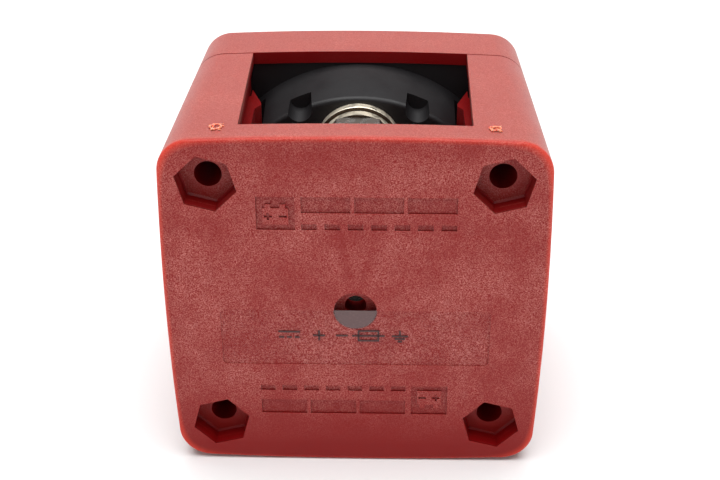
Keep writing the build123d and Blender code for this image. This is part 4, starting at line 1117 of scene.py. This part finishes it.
class SWITCH_OT_film_print(bpy.types.Operator):
    """Generic dark signs printed on the clear film: direct current, poles, a fuse and earth"""

    bl_idname = "switch.film_print"
    bl_label = "Film print"

    def execute(self, context):
        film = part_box("clear_label")[0].y
        bottom = film - 0.04 * MM
        top = film + 0.03 * MM
        start, level = -14.2 * MM, -5.5 * MM    # left end and middle of the row of signs

        def signs(work):
            for x0, x1, z0, z1 in self.strokes():
                stroke = bar(start + x0 * MM, start + x1 * MM, level + z0 * MM, level + z1 * MM)
                plate(work, stroke, bottom, top)

        piece("film_signs", finished_mesh("film_signs", signs), "print", "housing",
              smooth=False)
        return {"FINISHED"}

    @staticmethod
    def strokes():
        """Strokes of all the signs, each from x0 to x1 and z0 to z1, in millimetres."""
        line = 0.34
        half = line / 2
        current = [(0.0, 4.0, 0.6, 0.6 + line)]
        current += [(0.1 + 1.45 * dash, 1.0 + 1.45 * dash, -0.6, -0.6 + line) for dash in range(3)]
        plus = [(6.4, 8.6, -half, half), (7.5 - half, 7.5 + half, -1.1, 1.1)]
        minus = [(10.6, 12.8, -half, half)]
        fuse = [(14.6, 18.6, 0.9, 0.9 + line), (14.6, 18.6, -0.9 - line, -0.9),
                (14.6, 14.6 + line, -0.9, 0.9), (18.6 - line, 18.6, -0.9, 0.9),
                (13.6, 19.6, -half, half)]
        earth = []
        for row in range(3):
            inset, rise = 0.55 * row, -0.2 - 0.6 * row
            earth.append((20.9 + inset, 23.9 - inset, rise, rise + line))
        earth.append((22.4 - half, 22.4 + half, 0.1, 1.2))
        return current + plus + minus + fuse + earth


class SWITCH_OT_torn_gates(bpy.types.Operator):
    """Torn rims left by the moulding gates beside each cable window"""

    bl_idname = "switch.torn_gates"
    bl_label = "Torn gates"

    def execute(self, context):
        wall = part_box("isolating_cover")[1].z - 0.42 * MM    # the bowed wall's level at the gates
        depth = 5.0 * MM
        gates = (("a", -24.1 * MM, 0.66, 1.25), ("b", 24.1 * MM, 0.62, 1.05))
        for index, (label, x, width, tall) in enumerate(gates):
            mesh = self.torn_rim(Vector((x, depth, wall)), width, tall, SEED + index)
            piece("torn_gate_" + label, mesh, "torn", "housing")
        return {"FINISHED"}

    @staticmethod
    def torn_rim(centre, width, tall, seed):
        """Uneven closed ring of torn skin on the wall, crossed by a curled strand with a loose tail."""
        pick = random.Random(seed)
        waves = [pick.uniform(-0.22, 0.22) for _ in range(9)]
        rim_steps, strand_steps, tags = 44, 24, 3

        def rim_point(turn):
            angle = 2 * math.pi * turn
            wave = 0.5 * sum(size * math.sin((k + 2) * angle + k) for k, size in enumerate(waves))
            lift = 0.10 + 0.07 * math.sin(3 * angle + seed)
            return centre + MM * Vector(((1.45 * width + 0.25 * wave) * math.cos(angle),
                                         (0.75 * tall + 0.2 * wave) * math.sin(angle), lift))

        def rim_radius(turn):
            return (0.17 + 0.06 * math.sin(10 * math.pi * turn + seed)) * MM

        def strand_point(share):
            along = share - 0.42
            sway = 0.28 * math.sin(2.2 * math.pi * share + seed)
            lift = 0.12 + 0.18 * math.sin(math.pi * share)
            return centre + MM * Vector((3.0 * width * along - sway * width,
                                         2.0 * tall * along + sway, lift))

        def add_tag(work, tag):
            spot = centre + MM * Vector((pick.uniform(-1.6, 1.9) * width,
                                         pick.uniform(-1.0, 1.0) * tall, 0.04))
            made = bmesh.ops.create_icosphere(work, subdivisions=3, radius=1.0)["verts"]
            size = Vector((pick.uniform(0.2, 0.4), pick.uniform(0.15, 0.3), 0.12)) * MM
            for vert in made:
                rough = 1.0 + 0.25 * math.sin(9 * vert.co.x + 5 * vert.co.y + tag)
                vert.co = spot + rough * Vector(a * b for a, b in zip(vert.co, size))

        def build(work):
            turns = [step / rim_steps for step in range(rim_steps)]
            tube(work, [rim_point(turn) for turn in turns], [rim_radius(turn) for turn in turns],
                 closed=True)
            steps = range(strand_steps + 1)
            tube(work, [strand_point(step / strand_steps) for step in steps],
                 [(0.16 - 0.005 * step) * MM for step in steps], closed=False)
            for tag in range(tags):
                add_tag(work, tag)

        return finished_mesh("torn_gate", build)


# ---- panel, registration and the run ------------------------------------------------------------
STEPS = (
    SWITCH_OT_studio,
    SWITCH_OT_plain_finishes,
    SWITCH_OT_studs,
    SWITCH_OT_coil_springs,
    SWITCH_OT_grip_ribs,
    SWITCH_OT_dial_print,
    SWITCH_OT_film_print,
    SWITCH_OT_torn_gates,
)
SETTINGS = (
    ("switch_red", RedPlasticSettings),
    ("switch_black", BlackPlasticSettings),
    ("switch_studs", StudSettings),
    ("switch_knob", KnobSettings),
    ("switch_dial", DialSettings),
    ("switch_studio", StudioSettings),
)


class SWITCH_PT_panel(bpy.types.Panel):
    """Lists the settings and the steps"""

    bl_idname = "SWITCH_PT_panel"
    bl_label = "Battery Switch"
    bl_space_type = "VIEW_3D"
    bl_region_type = "UI"
    bl_category = "Switch"

    def draw(self, context):
        for name, group in SETTINGS:
            box = self.layout.box()
            for key in group.__annotations__:
                box.prop(getattr(context.scene, name), key)
        for step in STEPS:
            self.layout.operator(step.bl_idname)


def register():
    """Registers the settings, the steps and the panel."""
    for name, group in SETTINGS:
        bpy.utils.register_class(group)
        setattr(bpy.types.Scene, name, PointerProperty(type=group))
    for step in STEPS:
        bpy.utils.register_class(step)
    bpy.utils.register_class(SWITCH_PT_panel)


def unregister():
    """Undoes register."""
    bpy.utils.unregister_class(SWITCH_PT_panel)
    for step in reversed(STEPS):
        bpy.utils.unregister_class(step)
    for name, group in reversed(SETTINGS):
        delattr(bpy.types.Scene, name)
        bpy.utils.unregister_class(group)


def main():
    """Runs every step in order."""
    register()
    for step in STEPS:
        family, name = step.bl_idname.split(".")
        getattr(getattr(bpy.ops, family), name)()
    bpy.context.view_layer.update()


if __name__ == "__main__":
    main()
